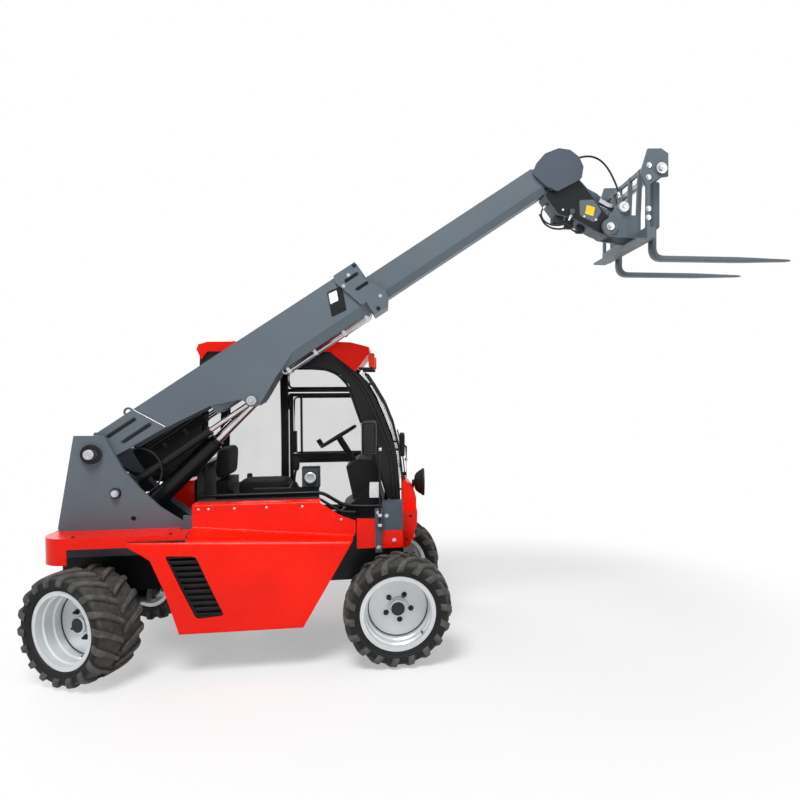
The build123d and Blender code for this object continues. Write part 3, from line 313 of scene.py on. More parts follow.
def makeFloor():
    # pale floor: camera and gloss see it nearly white, and white beyond the shadow's reach
    f = floorSizes
    look = Look("floorLook")
    away = look.node("ShaderNodeVectorMath", dict(operation="LENGTH"), {0: look.place}, out="Value")
    rays = [look.node("ShaderNodeLightPath", out=name) for name in ("Is Camera Ray", "Is Glossy Ray")]
    glow = look.node("ShaderNodeEmission", None, {"Color": (1.0, 1.0, 1.0), "Strength": 1.0})
    flat = look.node("ShaderNodeBsdfDiffuse", None, {"Color": (f["tone"],) * 3})
    seen = (rays[0] + rays[1]).ramp(0.0, 0.5)
    near = look.node("ShaderNodeMixShader", None, {0: f["glowShare"] * seen, 1: flat, 2: glow})
    fade = away.ramp(f["fadeFrom"], f["fadeTo"])
    mixed = look.node("ShaderNodeMixShader", None, {0: seen * fade, 1: near, 2: glow})
    look.tree.links.new(mixed.socket, look.tree.nodes["Material Output"].inputs["Surface"])
    mesh = bpy.data.meshes.new("floor")
    half = f["half"]
    corners = [(-half, -half, 0), (half, -half, 0), (half, half, 0), (-half, half, 0)]
    mesh.from_pydata(corners, [], [(0, 1, 2, 3)])
    mesh.materials.append(look.material)
    floor = bpy.data.objects.new("floor", mesh)
    bpy.context.collection.objects.link(floor)


def makeWorld():
    # soft even light; camera, glossy and transmission rays see plain white
    world = bpy.data.worlds.new("studio")
    scene.world = world
    world.use_nodes = True
    tree = world.node_tree
    tree.nodes.clear()
    path = tree.nodes.new("ShaderNodeLightPath")
    kinds = ("Background", "Background", "MixShader", "Math", "Math")
    soft, white, mixed, seen, both = (tree.nodes.new("ShaderNode" + kind) for kind in kinds)
    seen.operation = both.operation = "MAXIMUM"
    tree.links.new(path.outputs["Is Camera Ray"], seen.inputs[0])
    tree.links.new(path.outputs["Is Glossy Ray"], seen.inputs[1])
    tree.links.new(seen.outputs[0], both.inputs[0])
    tree.links.new(path.outputs["Is Transmission Ray"], both.inputs[1])
    soft.inputs["Color"].default_value = worldSizes["tint"]
    soft.inputs["Strength"].default_value = worldSizes["strength"]
    white.inputs["Color"].default_value = (1.0, 1.0, 1.0, 1.0)
    white.inputs["Strength"].default_value = 1.0
    tree.links.new(both.outputs[0], mixed.inputs[0])
    tree.links.new(soft.outputs[0], mixed.inputs[1])
    tree.links.new(white.outputs[0], mixed.inputs[2])
    out = tree.nodes.new("ShaderNodeOutputWorld")
    tree.links.new(mixed.outputs[0], out.inputs[0])


makeFloor()
makeWorld()
print("floor and world made")


# --- mesh helpers

def gridFaces(rows, columns, closeRows=False, closeColumns=False, start=0):
    # quads over a grid of points, row by row
    r = np.arange(rows if closeRows else rows - 1)[:, None]
    c = np.arange(columns if closeColumns else columns - 1)[None, :]
    nextR, nextC = (r + 1) % rows, (c + 1) % columns
    quads = [r * columns + c, r * columns + nextC, nextR * columns + nextC, nextR * columns + c]
    return np.stack([np.broadcast_to(q, (r.size, c.size)).ravel() for q in quads], 1) + start


def outward(points, faces):
    # turns every face round when the closed shape's signed volume is negative
    a, b, c = (points[faces[:, k]] for k in (0, 1, 2))
    d = points[faces[:, -1]]
    volume = np.einsum("ij,ij->i", a, np.cross(b, c)).sum() + np.einsum("ij,ij->i", a, np.cross(c, d)).sum()
    return faces[:, ::-1] if volume < 0 else faces


def addPiece(name, points, faces, look, slotName, body, smooth=35.0, replaced=(), attribute=None,
             moving=True):
    # a piece from its points and faces; edges sharper than smooth degrees stay crisp
    mesh = bpy.data.meshes.new(name)
    points = np.asarray(points, float).reshape(-1, 3)
    mesh.from_pydata(points.tolist(), [], faces.tolist())
    mesh.materials.append(looks[look])
    if attribute is not None:
        layer = mesh.attributes.new(attribute[0], "FLOAT", "POINT")
        layer.data.foreach_set("value", np.asarray(attribute[1], np.float32).ravel())
    mesh.shade_smooth()
    mesh.set_sharp_from_angle(angle=math.radians(smooth))
    piece = bpy.data.objects.new(name, mesh)
    bpy.context.collection.objects.link(piece)
    if moving:
        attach(piece, body)
    if replaced:
        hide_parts(*replaced)
    return piece


def parabola(q, start, corner, end):
    # curve from start to end drawn towards the corner, as q goes from 0 to 1:
    # (1-q) squared of start, twice q(1-q) of corner and q squared of end
    return (1 - q) ** 2 * start + 2 * q * (1 - q) * corner + q ** 2 * end


def sideAxes(along):
    # two unit vectors square to each direction in a list, the first as level as it can be
    along = np.atleast_2d(np.asarray(along, float))
    along = along / np.linalg.norm(along, axis=1, keepdims=True)
    first = np.cross(along, (0.0, 0.0, 1.0))
    short = np.linalg.norm(first, axis=1, keepdims=True) < 1e-3
    first = np.where(short, np.cross(along, (0.0, 1.0, 0.0)), first)
    first /= np.linalg.norm(first, axis=1, keepdims=True)
    return along, first, np.cross(first, along)


def turnedSet(places, axis, profile, sides=24, hexRows=()):
    # profile rows (radius, height) turned about an axis at every place;
    # rows in hexRows have six flats in place of a round edge
    profile = np.asarray(profile, float)
    along, first, second = (v[0] for v in sideAxes(axis))
    angle = np.arange(sides) * 2 * np.pi / sides
    folded = (angle + np.pi / 6) % (np.pi / 3) - np.pi / 6
    flat = np.cos(np.pi / 6) / np.cos(folded)
    reach = np.repeat(profile[:, :1], sides, 1)
    for row in hexRows:
        reach[row] *= flat
    ring = reach[..., None] * (np.cos(angle)[:, None] * first + np.sin(angle)[:, None] * second)
    ring = ring + profile[:, 1, None, None] * along
    shape = ring.reshape(-1, 3)
    faces = outward(shape, gridFaces(len(profile), sides, closeColumns=True))
    places = np.atleast_2d(np.asarray(places, float))
    points = (places[:, None, :] + shape[None]).reshape(-1, 3)
    steps = np.arange(len(places))[:, None, None] * len(shape)
    return points, (faces[None] + steps).reshape(-1, 4)


def joined(parts):
    # several (points, faces) lists as one
    points, faces, count = [], [], 0
    for partPoints, partFaces in parts:
        points.append(np.asarray(partPoints).reshape(-1, 3))
        faces.append(np.asarray(partFaces) + count)
        count += len(points[-1])
    return np.concatenate(points), np.concatenate(faces)


def carried(line, section, closed=False):
    # a closed section of (across, up) offsets carried along a line of points;
    # the ends are closed by drawing the section down to its middle
    line = np.asarray(line, float)
    section = np.asarray(section, float)
    tangent = np.roll(line, -1, 0) - np.roll(line, 1, 0) if closed else np.gradient(line, axis=0)
    tangent, across, up = sideAxes(tangent)
    rows = line[:, None] + section[None, :, :1] * across[:, None] + section[None, :, 1:] * up[:, None]
    if not closed:
        first, last = (np.repeat(end[:, None], len(section), 1) for end in (line[:1], line[-1:]))
        rows = np.concatenate([first, rows, last])
    faces = gridFaces(len(rows), len(section), closeRows=closed, closeColumns=True)
    points = rows.reshape(-1, 3)
    return points, outward(points, faces)


def circleSection(radius, sides=10):
    # round section: the cosine and sine of evenly spaced angles
    angle = np.arange(sides) * 2 * np.pi / sides
    return np.stack([radius * np.cos(angle), radius * np.sin(angle)], 1)


# --- hoses

hoseRoutes = dict(
    headHose=[
        (0.896, -0.276, 3.308), (0.932, -0.272, 3.349), (0.992, -0.262, 3.375), (1.062, -0.254, 3.382),
        (1.127, -0.254, 3.356), (1.180, -0.258, 3.297), (1.217, -0.264, 3.224), (1.244, -0.272, 3.154),
        (1.259, -0.279, 3.090)],
    neckHose=[
        (0.730, -0.239, 3.029), (0.699, -0.246, 3.001), (0.686, -0.257, 2.957), (0.700, -0.269, 2.912),
        (0.738, -0.281, 2.884), (0.790, -0.290, 2.874), (0.842, -0.297, 2.882), (0.879, -0.300, 2.908),
        (0.895, -0.300, 2.948)],
    liftHose=[
        (-2.034, -0.290, 1.372), (-1.964, -0.290, 1.366), (-1.898, -0.290, 1.345), (-1.850, -0.290, 1.300),
        (-1.826, -0.290, 1.240), (-1.828, -0.290, 1.176), (-1.853, -0.292, 1.120), (-1.896, -0.297, 1.080),
        (-1.940, -0.301, 1.060)],
    levelHose=[
        (-2.064, -0.300, 1.218), (-2.022, -0.298, 1.204), (-1.987, -0.297, 1.172), (-1.970, -0.297, 1.126),
        (-1.966, -0.299, 1.078)],
)
hoses = [
    # name, node, radius, body at each end
    ("headHose", "head_hose", 0.007, ("inner_boom", "fork_carriage")),
    ("neckHose", "neck_hose", 0.006, ("inner_boom", "inner_boom")),
    ("liftHose", "lift_hose", 0.006, ("outer_boom", "chassis")),
    ("levelHose", "level_hose", 0.006, ("chassis", "chassis")),
]


def routeCurve(name, radius=0.0):
    # smooth NURBS line with the route's points as its control points
    curve = bpy.data.curves.new(name, "CURVE")
    curve.dimensions, curve.resolution_u = "3D", 16
    spline = curve.splines.new("NURBS")
    route = hoseRoutes[name]
    spline.points.add(len(route) - 1)
    spline.points.foreach_set("co", np.c_[route, np.ones(len(route))].ravel())
    spline.order_u = 3
    spline.use_endpoint_u = True
    curve.bevel_depth, curve.bevel_resolution = radius, 3
    return curve


def routeLine(name):
    # points along the route's smooth line
    holder = bpy.data.objects.new(name + "Line", routeCurve(name))
    bpy.context.collection.objects.link(holder)
    mesh = bpy.data.meshes.new_from_object(holder)
    line = np.empty(len(mesh.vertices) * 3)
    mesh.vertices.foreach_get("co", line)
    bpy.data.objects.remove(holder)
    bpy.data.meshes.remove(mesh)
    return line.reshape(-1, 3)


def makeHose(name, node, radius, bodies):
    # hose along its route; one whose ends are on two bodies rides neither of them
    line = routeLine(name)
    run = np.r_[0, np.cumsum(np.linalg.norm(np.diff(line, axis=0), axis=1))]
    for end, body in ((0, bodies[0]), (-1, bodies[1])):
        # crimped sleeve and hexagon nut over the hose's end
        at = line[end]
        inner = line[np.argmin(abs((run if end == 0 else run[-1] - run) - 0.045))]
        way = (inner - at) / np.linalg.norm(inner - at)
        sleeve = [(0, 0.0), (radius + 0.006, 0.0), (radius + 0.007, 0.002), (radius + 0.007, 0.013),
                  (radius + 0.005, 0.015), (radius + 0.0035, 0.016), (radius + 0.0035, 0.024),
                  (radius + 0.0045, 0.026), (radius + 0.0035, 0.028), (radius + 0.0035, 0.040),
                  (radius + 0.001, 0.043), (0, 0.043)]
        points, faces = turnedSet([at], way, sleeve, 24, (1, 2, 3, 4))
        addPiece(f"{name}Fitting{1 if end == 0 else 2}", points, faces, "zinc",
                                 "hose_rubber", body)
    if bodies[0] == bodies[1]:
        hose = bpy.data.objects.new(name, routeCurve(name, radius))
        bpy.context.collection.objects.link(hose)
        hose.data.materials.append(looks["rubber"])
        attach(hose, bodies[0])
        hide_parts(node)
    else:
        points, faces = carried(line, circleSection(radius, 14))
        hose = addPiece(name, points, faces, "rubber", "hose_rubber", None, 60, (node,), moving=False)
        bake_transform(hose)


for hoseRow in hoses:
    makeHose(*hoseRow)
print("hoses made")


# --- tyres

tyreSizes = dict(
    lugs=18, lugHeight=0.021, lugWidth=0.034, sweep=0.118, around=120, bead=(0.105, 0.2166),
    lugStart=0.004, lugReach=0.182, taperFrom=0.72, taperBy=0.62, sunk=0.0008, wear=0.0035,
    rearTurn=-28.2)  # the rear wheels stand steered by this many degrees
tyreProfile = [
    # axial place and radius from the bead round to the crown
    (0.1085, 0.2170), (0.1160, 0.2290), (0.1235, 0.2370), (0.1330, 0.2400), (0.1400, 0.2440),
    (0.1415, 0.2500), (0.1395, 0.2530), (0.1430, 0.2570), (0.1478, 0.2660), (0.1500, 0.2800),
    (0.1492, 0.2930), (0.1455, 0.3040), (0.1370, 0.3125), (0.1200, 0.3172), (0.0900, 0.3190),
    (0.0450, 0.3200), (0.0, 0.3204)]


def wheelAxes(name):
    # middle, outward, forward and up directions of a wheel, from its rim's box and its steering angle
    low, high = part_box(name + "_rim")
    side = -1 if "right" in name else 1
    steer = math.radians(tyreSizes["rearTurn"]) if "rear" in name else 0.0
    out = np.array((-math.sin(steer), math.cos(steer), 0.0)) * side
    ahead = np.array((math.cos(steer), math.sin(steer), 0.0))
    return np.array((low + high) / 2), out, ahead, np.array((0.0, 0.0, 1.0))


def wheelPiece(name, ending):
    # front_right and Tyre give FrontRightTyre
    return name.title().replace("_", "") + ending


def makeTyre(name):
    # carcass: the profile and its mirror image turned about the axle
    t = tyreSizes
    centre, out, ahead, up = wheelAxes(name)
    half = np.array(tyreProfile)
    beadY, beadR = t["bead"]
    loop = np.concatenate([half, half[-2::-1] * (-1, 1), [(-beadY, beadR), (beadY, beadR)]])
    angle = np.arange(t["around"]) * 2 * np.pi / t["around"]

    def place(y, r, a):
        spoke = np.cos(a)[..., None] * up + np.sin(a)[..., None] * ahead
        return centre + y[..., None] * out + r[..., None] * spoke

    same = np.zeros((len(angle), len(loop)))
    rows = place(loop[:, 0] + same, loop[:, 1] + same, angle[:, None] + same)
    shell = rows.reshape(-1, 3)
    shellFaces = outward(shell, gridFaces(len(angle), len(loop), True, True))
    # lugs: a bar follows the profile from beside the crown's middle down to the shoulder and swings
    # round the axle as it goes; its section is a flat top between sloping sides
    s = np.linspace(0, 1, 14)
    run = half[::-1]
    length = np.r_[0, np.cumsum(np.linalg.norm(np.diff(run, axis=0), axis=1))]
    reach = t["lugStart"] + s * t["lugReach"]
    y, r = np.interp(reach, length, run[:, 0]), np.interp(reach, length, run[:, 1])
    dy, dr = np.gradient(y), np.gradient(r)
    size = np.hypot(dy, dr)
    normalY, normalR = -dr / size, dy / size
    fall = np.clip((s - t["taperFrom"]) / (1 - t["taperFrom"]), 0, 1) ** 1.2
    height = t["lugHeight"] * (1 - t["taperBy"] * fall)
    height = height - t["sunk"] - t["wear"] * np.clip((y - 0.07) / 0.05, 0, 1) * (s < 0.75)
    swing = t["sweep"] * (1 - s) ** 1.25 + 0.012 * s
    wide = t["lugWidth"] * (0.86 + 0.36 * s)
    section = np.array([(-0.62, -0.15), (-0.46, 0.86), (-0.38, 1.0), (0.38, 1.0), (0.46, 0.86),
                        (0.62, -0.15)])
    ends = np.r_[0, np.arange(len(s)), len(s) - 1]
    lift = np.ones(len(ends))
    lift[[0, -1]] = 0.0
    lugPoints, scuffAndSheen = [], []
    count = t["lugs"]
    for side, shift in ((1, 0.0), (-1, 0.5)):
        turn = (np.arange(count) + shift) * 2 * np.pi / count
        h = height[ends][:, None] * lift[:, None] * section[None, :, 1]
        lugY = y[ends][:, None] + normalY[ends][:, None] * h
        lugR = r[ends][:, None] + normalR[ends][:, None] * h
        slope = (lift[:, None] - 1) * 0.006 * np.r_[1, np.zeros(len(s)), -1][:, None]
        lugY = lugY + slope
        around = (swing[ends][:, None] + wide[ends][:, None] * section[None, :, 0]) / lugR
        a = turn[:, None, None] + around[None]
        lugPoints.append(place(side * lugY[None] + 0 * a, lugR[None] + 0 * a, a))
        scuffAndSheen.append(np.broadcast_to((section[None, None, :, 1] > 0.5) * lift[None, :, None], a.shape))
    one = gridFaces(len(ends), len(section), closeColumns=True)
    lugs = np.concatenate([p.reshape(count, -1, 3) for p in lugPoints])
    parts = [(lug, outward(lug, one)) for lug in lugs]
    points, faces = joined([(shell, shellFaces)] + parts)
    # the tread's crown is marked paler as well: partly scuffed rubber, partly painted highlight
    tone = np.clip((np.tile(loop[:, 1], len(angle)) - 0.300) / 0.012, 0, 1) * 0.55
    marks = np.concatenate([tone] + [w.reshape(-1) for w in scuffAndSheen])
    addPiece(wheelPiece(name, "Tyre"), points, faces, "tread", "tyre_rubber",
             name + "_wheel", 38, (name + "_tyre",), ("scuffAndSheen", marks))


wheels = ["front_right", "front_left", "rear_right", "rear_left"]
for wheel in wheels:
    makeTyre(wheel)
print("tyres made")

nutProfile = [(0, 0.0), (0.021, 0.0), (0.021, 0.003), (0.0155, 0.004), (0.0155, 0.016), (0.013, 0.019),
              (0.0095, 0.0195), (0.0095, 0.026), (0.008, 0.028), (0, 0.028)]


nutSizes = dict(
    count=5, phase=0.4, circle=0.084, face=-0.024, scale=0.82,
    valveOut=0.088, valveRadius=0.196, valveTurn=2.3)


def makeWheelNuts(name):
    # nuts on a circle on the disc, and the valve stem
    n = nutSizes
    centre, out, ahead, up = wheelAxes(name)
    angle = (np.arange(n["count"]) + n["phase"]) * 2 * np.pi / n["count"]
    spokes = np.cos(angle)[:, None] * up + np.sin(angle)[:, None] * ahead
    ring = centre + out * n["face"] + n["circle"] * spokes
    profile = [(n["scale"] * r, h) for r, h in nutProfile]
    points, faces = turnedSet(ring, out, profile, 24, (3, 4, 5))
    valve = [(0, 0), (0.006, 0), (0.006, 0.018), (0.0045, 0.02), (0.0045, 0.034), (0.003, 0.036), (0, 0.036)]
    turn = n["valveTurn"]
    spot = centre + out * n["valveOut"] + n["valveRadius"] * (math.cos(turn) * up + math.sin(turn) * ahead)
    stem = turnedSet([spot], out, valve, 16)
    points, faces = joined([(points, faces), stem])
    addPiece(wheelPiece(name, "WheelNuts"), points, faces, "iron", "silver_paint", name + "_wheel")


for wheel in wheels:
    makeWheelNuts(wheel)
print("wheel nuts made")


# --- engine cover

coverSizes = dict(
    hinge=-0.366, wall=-0.470, skirt=-0.640, top=1.012, low=0.262, rearX=-1.940, frontX=-0.470,
    shelfIn=(0.905, 0.766), shelfOut=(0.822, 0.782), crown=0.010, thickness=0.005,
    weld=0.0005, bevel=0.0014,
    # places of t at the section's corners, and how far each rounded one reaches in t and in metres
    edges=(0.0, 0.10, 0.36, 0.62, 1.0), bends=(0.035, 0.035, 0.05), eased=(0.014, 0.016, 0.034),
    # x where the skirt's rear part meets the rest, the t it starts at, columns in each part and the
    # window cutter's y places; then the front and rear outlines
    split=-1.598, lowFrom=0.60, columns=(60, 16), cut=(-0.70, -0.60),
    frontZ=(0.264, 0.279, 0.784, 0.800, 0.900, 0.912, 1.006, 1.012),
    frontEdgeX=(-0.910, -0.901, -0.609, -0.596, -0.596, -0.682, -0.820, -0.822),
    rearZ=(0.264, 0.533, 0.720, 0.800, 0.812, 0.830),
    rearEdgeX=(-1.636, -1.714, -1.795, -1.922, -1.926, -1.926),
    window=((-1.710, 0.741), (-1.534, 0.732), (-1.373, 0.365), (-1.535, 0.351)), windowRound=0.022)


def coverSection(x, t):
    # the cover's cross-section at x: a flat lip, an upright wall, a sloping shelf and a skirt, with each
    # corner drawn round as a parabola; t runs 0 to 1 from the hinge edge to the bottom edge
    c = coverSizes
    share = (x - c["rearX"]) / (c["frontX"] - c["rearX"])
    shelfIn = c["shelfIn"][0] + share * (c["shelfIn"][1] - c["shelfIn"][0])
    shelfOut = c["shelfOut"][0] + share * (c["shelfOut"][1] - c["shelfOut"][0])
    one = np.ones_like(x)
    corners = [(c["hinge"] * one, c["top"] * one), (c["wall"] * one, c["top"] * one),
               (c["wall"] * one, shelfIn),
               (c["skirt"] * one, shelfOut), (c["skirt"] * one, c["low"] * one)]
    edges, bends, eased = c["edges"], c["bends"], c["eased"]
    y, z = np.zeros_like(x), np.zeros_like(x)
    for k in range(4):
        (y0, z0), (y1, z1) = corners[k], corners[k + 1]
        part = (t >= edges[k]) & (t <= edges[k + 1])
        u = (t - edges[k]) / (edges[k + 1] - edges[k])
        y, z = np.where(part, y0 + (y1 - y0) * u, y), np.where(part, z0 + (z1 - z0) * u, z)
    for k in range(1, 4):
        (y0, z0), (y1, z1), (y2, z2) = corners[k - 1], corners[k], corners[k + 1]
        near = abs(t - edges[k]) <= bends[k - 1]
        q = (t - edges[k] + bends[k - 1]) / (2 * bends[k - 1])
        size = [np.hypot(y1 - y0, z1 - z0), np.hypot(y2 - y1, z2 - z1)]
        before = [eased[k - 1] / size[0], eased[k - 1] / size[1]]
        ay, az = y1 + (y0 - y1) * before[0], z1 + (z0 - z1) * before[0]
        by, bz = y1 + (y2 - y1) * before[1], z1 + (z2 - z1) * before[1]
        y, z = np.where(near, parabola(q, ay, y1, by), y), np.where(near, parabola(q, az, z1, bz), z)
    bulge = np.clip((t - edges[3]) / (1 - edges[3]), 0, 1)
    return y - c["crown"] * np.sin(np.pi * bulge) ** 2, z


def coverSteps():
    # places of t, close together round each corner
    edges, bends = coverSizes["edges"], coverSizes["bends"]
    steps = [0.0, 0.03]
    for edge, bend, last, nextBend, count in zip(edges[1:], bends, edges[2:], (*bends[1:], 0), (8, 8, 18)):
        steps += list(np.linspace(edge - bend, edge + bend, 9))
        steps += list(np.linspace(edge + bend, last - nextBend, count)[1:-1])
    return np.array(steps + [1.0])


def coverPatch(rearEdge, frontEdge, steps, columns):
    # a grid over the section and along the cover; each row's ends slide until they meet the side outline
    t = np.repeat(steps[:, None], columns, 1)
    share = np.linspace(0, 1, columns)[None, :]
    x = np.full_like(t, -1.2)

    def edgeAt(edge, heights):
        return np.interp(heights, *edge) if isinstance(edge, tuple) else np.full((len(steps), 1), edge)

    for turn in range(24):
        y, z = coverSection(x, t)
        rear, front = edgeAt(rearEdge, z[:, :1]), edgeAt(frontEdge, z[:, -1:])
        x = 0.5 * x + 0.5 * (rear + share * (front - rear))
    y, z = coverSection(x, t)
    return np.stack([x, y, z], -1)


def cutBy(piece, points, faces, name):
    # takes a closed shape out of a piece
    mesh = bpy.data.meshes.new(name)
    mesh.from_pydata(points.tolist(), [], faces.tolist())
    tool = bpy.data.objects.new(name, mesh)
    bpy.context.collection.objects.link(tool)
    cut = piece.modifiers.new("cut", "BOOLEAN")
    cut.object, cut.operation, cut.solver = tool, "DIFFERENCE", "EXACT"
    settle(piece)
    bpy.data.objects.remove(tool)


def settle(piece):
    # bakes a piece's modifiers into its mesh
    graph = bpy.context.evaluated_depsgraph_get()
    mesh = bpy.data.meshes.new_from_object(piece.evaluated_get(graph))
    piece.modifiers.clear()
    piece.data = mesh


def prism(outline, low, high):
    # closed prism over an outline of (x, z) points between two y places
    outline = np.asarray(outline, float)
    middle = np.broadcast_to(outline.mean(0), outline.shape)
    rings = [(middle, low), (outline, low), (outline, high), (middle, high)]
    points = np.concatenate([np.c_[ring[:, 0], np.full(len(ring), y), ring[:, 1]] for ring, y in rings])
    return points, outward(points, gridFaces(4, len(outline), closeColumns=True))


def roundedOutline(corners, radius, steps=6):
    # polygon with each corner replaced by a parabola that starts a radius before it
    corners = np.asarray(corners, float)
    before, after = np.roll(corners, 1, 0) - corners, np.roll(corners, -1, 0) - corners
    before /= np.linalg.norm(before, axis=1, keepdims=True)
    after /= np.linalg.norm(after, axis=1, keepdims=True)
    q = np.linspace(0, 1, steps)[None, :, None]
    start, end = (corners + radius * before)[:, None], (corners + radius * after)[:, None]
    return parabola(q, start, corners[:, None], end).reshape(-1, 2)


def makeCover():
    # one sheet: the section up to the front outline, and its low part back to the rear one; then a wall
    # thickness, the window and a small bevel
    c = coverSizes
    steps = coverSteps()
    lowSteps = steps[steps >= c["lowFrom"]]
    upper = coverPatch(c["split"], (c["frontZ"], c["frontEdgeX"]), steps, c["columns"][0])
    lower = coverPatch((c["rearZ"], c["rearEdgeX"]), c["split"], lowSteps, c["columns"][1])
    points, faces = joined([(part.reshape(-1, 3), gridFaces(*part.shape[:2])) for part in (upper, lower)])
    cover = addPiece("engineCover", points, faces, "red", "red_paint", "engine_cover", 40, ("engine_cover",))
    weld = cover.modifiers.new("weld", "WELD")
    weld.merge_threshold = c["weld"]
    wall = cover.modifiers.new("wall", "SOLIDIFY")
    wall.thickness, wall.offset = c["thickness"], -1.0
    settle(cover)
    cutBy(cover, *prism(roundedOutline(c["window"], c["windowRound"]), *c["cut"]), "windowCut")
    bevel = cover.modifiers.new("round", "BEVEL")
    bevel.width, bevel.segments = c["bevel"], 2
    bevel.limit_method, bevel.angle_limit = "ANGLE", math.radians(50)
    settle(cover)
    cover.data.shade_smooth()
    cover.data.set_sharp_from_angle(angle=math.radians(32))


makeCover()
print("engine cover made")


# --- front guard mesh

guardSizes = dict(
    spacing=0.013, wire=0.0011, low=-0.026, high=0.676, inset=0.003,
    returnRows=(0.010, 0.022, 0.034), returnDepth=0.036)
guardLine = np.array([
    (-0.536, 1.850), (-0.484, 1.770), (-0.402, 1.628), (-0.340, 1.470), (-0.300, 1.300), (-0.284, 1.160),
    (-0.282, 1.090)])


def makeGuardMesh():
    # woven wires: upright ones follow the guard's bent line and weave over and under the level ones
    g = guardSizes
    run = np.r_[0, np.cumsum(np.linalg.norm(np.diff(guardLine, axis=0), axis=1))]
    rows = int(run[-1] / g["spacing"])
    at = np.linspace(0, run[-1], rows)
    x, z = np.interp(at, run, guardLine[:, 0]), np.interp(at, run, guardLine[:, 1])
    slope = np.stack([np.gradient(x), np.gradient(z)], 1)
    slope /= np.linalg.norm(slope, axis=1, keepdims=True)
    normal = np.stack([-slope[:, 1], slope[:, 0]], 1)
    columns = int((g["high"] - g["low"]) / g["spacing"])
    across = np.linspace(g["low"], g["high"], columns)
    parts = []
    section = circleSection(g["wire"], 4)
    for k, y in enumerate(across):
        weave = (g["wire"] * 0.9) * np.where((np.arange(rows) + k) % 2, 1, -1)
        deep = weave - g["inset"]
        line = np.stack([x + normal[:, 0] * deep, np.full(rows, y), z + normal[:, 1] * deep], 1)
        parts.append(carried(line, section))
    levelX, levelZ = x - g["inset"] * normal[:, 0], z - g["inset"] * normal[:, 1]
    for k in range(rows):
        parts.append(carried([(levelX[k], y, levelZ[k]) for y in (g["low"], g["high"])], section))
    # the mesh turns rearwards along both sides
    for y in (g["low"] + 0.004, g["high"] - 0.004):
        for shift in g["returnRows"]:
            parts.append(carried(np.stack([x - shift, np.full(rows, y), z], 1), section))
        for k in range(rows):
            parts.append(carried([(x[k] - g["returnDepth"], y, z[k]), (x[k], y, z[k])], section))
    points, faces = joined(parts)
    addPiece("guardMesh", points, faces, "black", "black_steel", "chassis", 60)


makeGuardMesh()
print("guard mesh made")


# --- lamps and mirrors

def superBox(low, high, power=5.0, rows=18, columns=36):
    # superellipsoid: a box whose faces are slightly full and whose edges are eased
    low, high = np.asarray(low, float), np.asarray(high, float)
    v = np.linspace(-np.pi / 2, np.pi / 2, rows)[:, None]
    u = (np.arange(columns) + 0.5)[None, :] * 2 * np.pi / columns
    soft = 2.0 / power

    def bent(value):
        return np.sign(value) * abs(value) ** soft

    girth = bent(np.cos(v))
    unit = np.stack([girth * bent(np.cos(u)), girth * bent(np.sin(u)), bent(np.sin(v)) + 0 * u], -1)
    points = ((low + high) / 2 + unit * (high - low) / 2).reshape(-1, 3)
    return points, outward(points, gridFaces(rows, columns, closeColumns=True))


lampSizes = dict(
    centre=(-0.206, 0.226, 1.027), stalkX=-0.201, stalkZ=(0.985, 1.03), stalkRadius=0.008,
    bowl=[(0, -0.004), (0.019, -0.004), (0.019, 0.012), (0.050, 0.017), (0.066, 0.026), (0.084, 0.048),
          (0.094, 0.066), (0.101, 0.072), (0.103, 0.076), (0.103, 0.086), (0.100, 0.088), (0.096, 0.087),
          (0.094, 0.080), (0, 0.080)],
    lens=(0.0, 0.012, 0.024, 0.036, 0.048, 0.060, 0.072, 0.084, 0.090, 0.094, 0.094),
    flute=0.016, fluteDepth=0.0014, markerY=(-0.054, 0.664))


def makeLamps():
    # round work lamp on the nose, and the two marker lamps under the roof's front corners; the lens is
    # part of an ellipsoid, with upright flutes as a sine across it
    m = lampSizes
    place = np.array(m["centre"])
    bowlShape = turnedSet([place], (1, 0, 0), m["bowl"], 48)
    stalkLine = [(m["stalkX"], place[1], z) for z in np.linspace(*m["stalkZ"], 6)]
    stalk = carried(stalkLine, circleSection(m["stalkRadius"]))
    addPiece("workLampBowl", *joined([bowlShape, stalk]), "plastic", "lamp_lens", "chassis", 30, ("lamps",))
    radius = np.array(m["lens"])[:, None]
    turn = np.arange(72)[None, :] * 2 * np.pi / 72
    across, up = radius * np.cos(turn), radius * np.sin(turn)
    dome = 0.080 + 0.006 * np.sqrt(np.clip(1 - (radius / 0.0945) ** 2, 0, 1))
    dome = dome + m["fluteDepth"] * np.sin(across * 2 * np.pi / m["flute"]) * (radius < 0.088)
    dome[-1] = 0.077
    grid = np.stack([place[0] + dome + 0 * turn, place[1] + across, place[2] + up], -1)
    grid = np.concatenate([grid, np.broadcast_to(place + (0.077, 0, 0), grid[:1].shape)])
    points = grid.reshape(-1, 3)
    faces = outward(points, gridFaces(len(grid), 72, closeColumns=True))
    addPiece("workLampLens", points, faces, "clearLens", "lamp_lens", "chassis", 60)
    markers, holders = [], []
    for y in m["markerY"]:
        markers.append(superBox((-0.519, y, 1.888), (-0.475, y + 0.040, 1.988), 6.0))
        holders.append(superBox((-0.586, y + 0.012, 1.867), (-0.484, y + 0.028, 1.888), 8.0))
    addPiece("markerLamps", *joined(markers), "lens", "lamp_lens", "chassis", 50)
    addPiece("markerLampHolders", *joined(holders), "plastic", "lamp_lens", "chassis", 50)


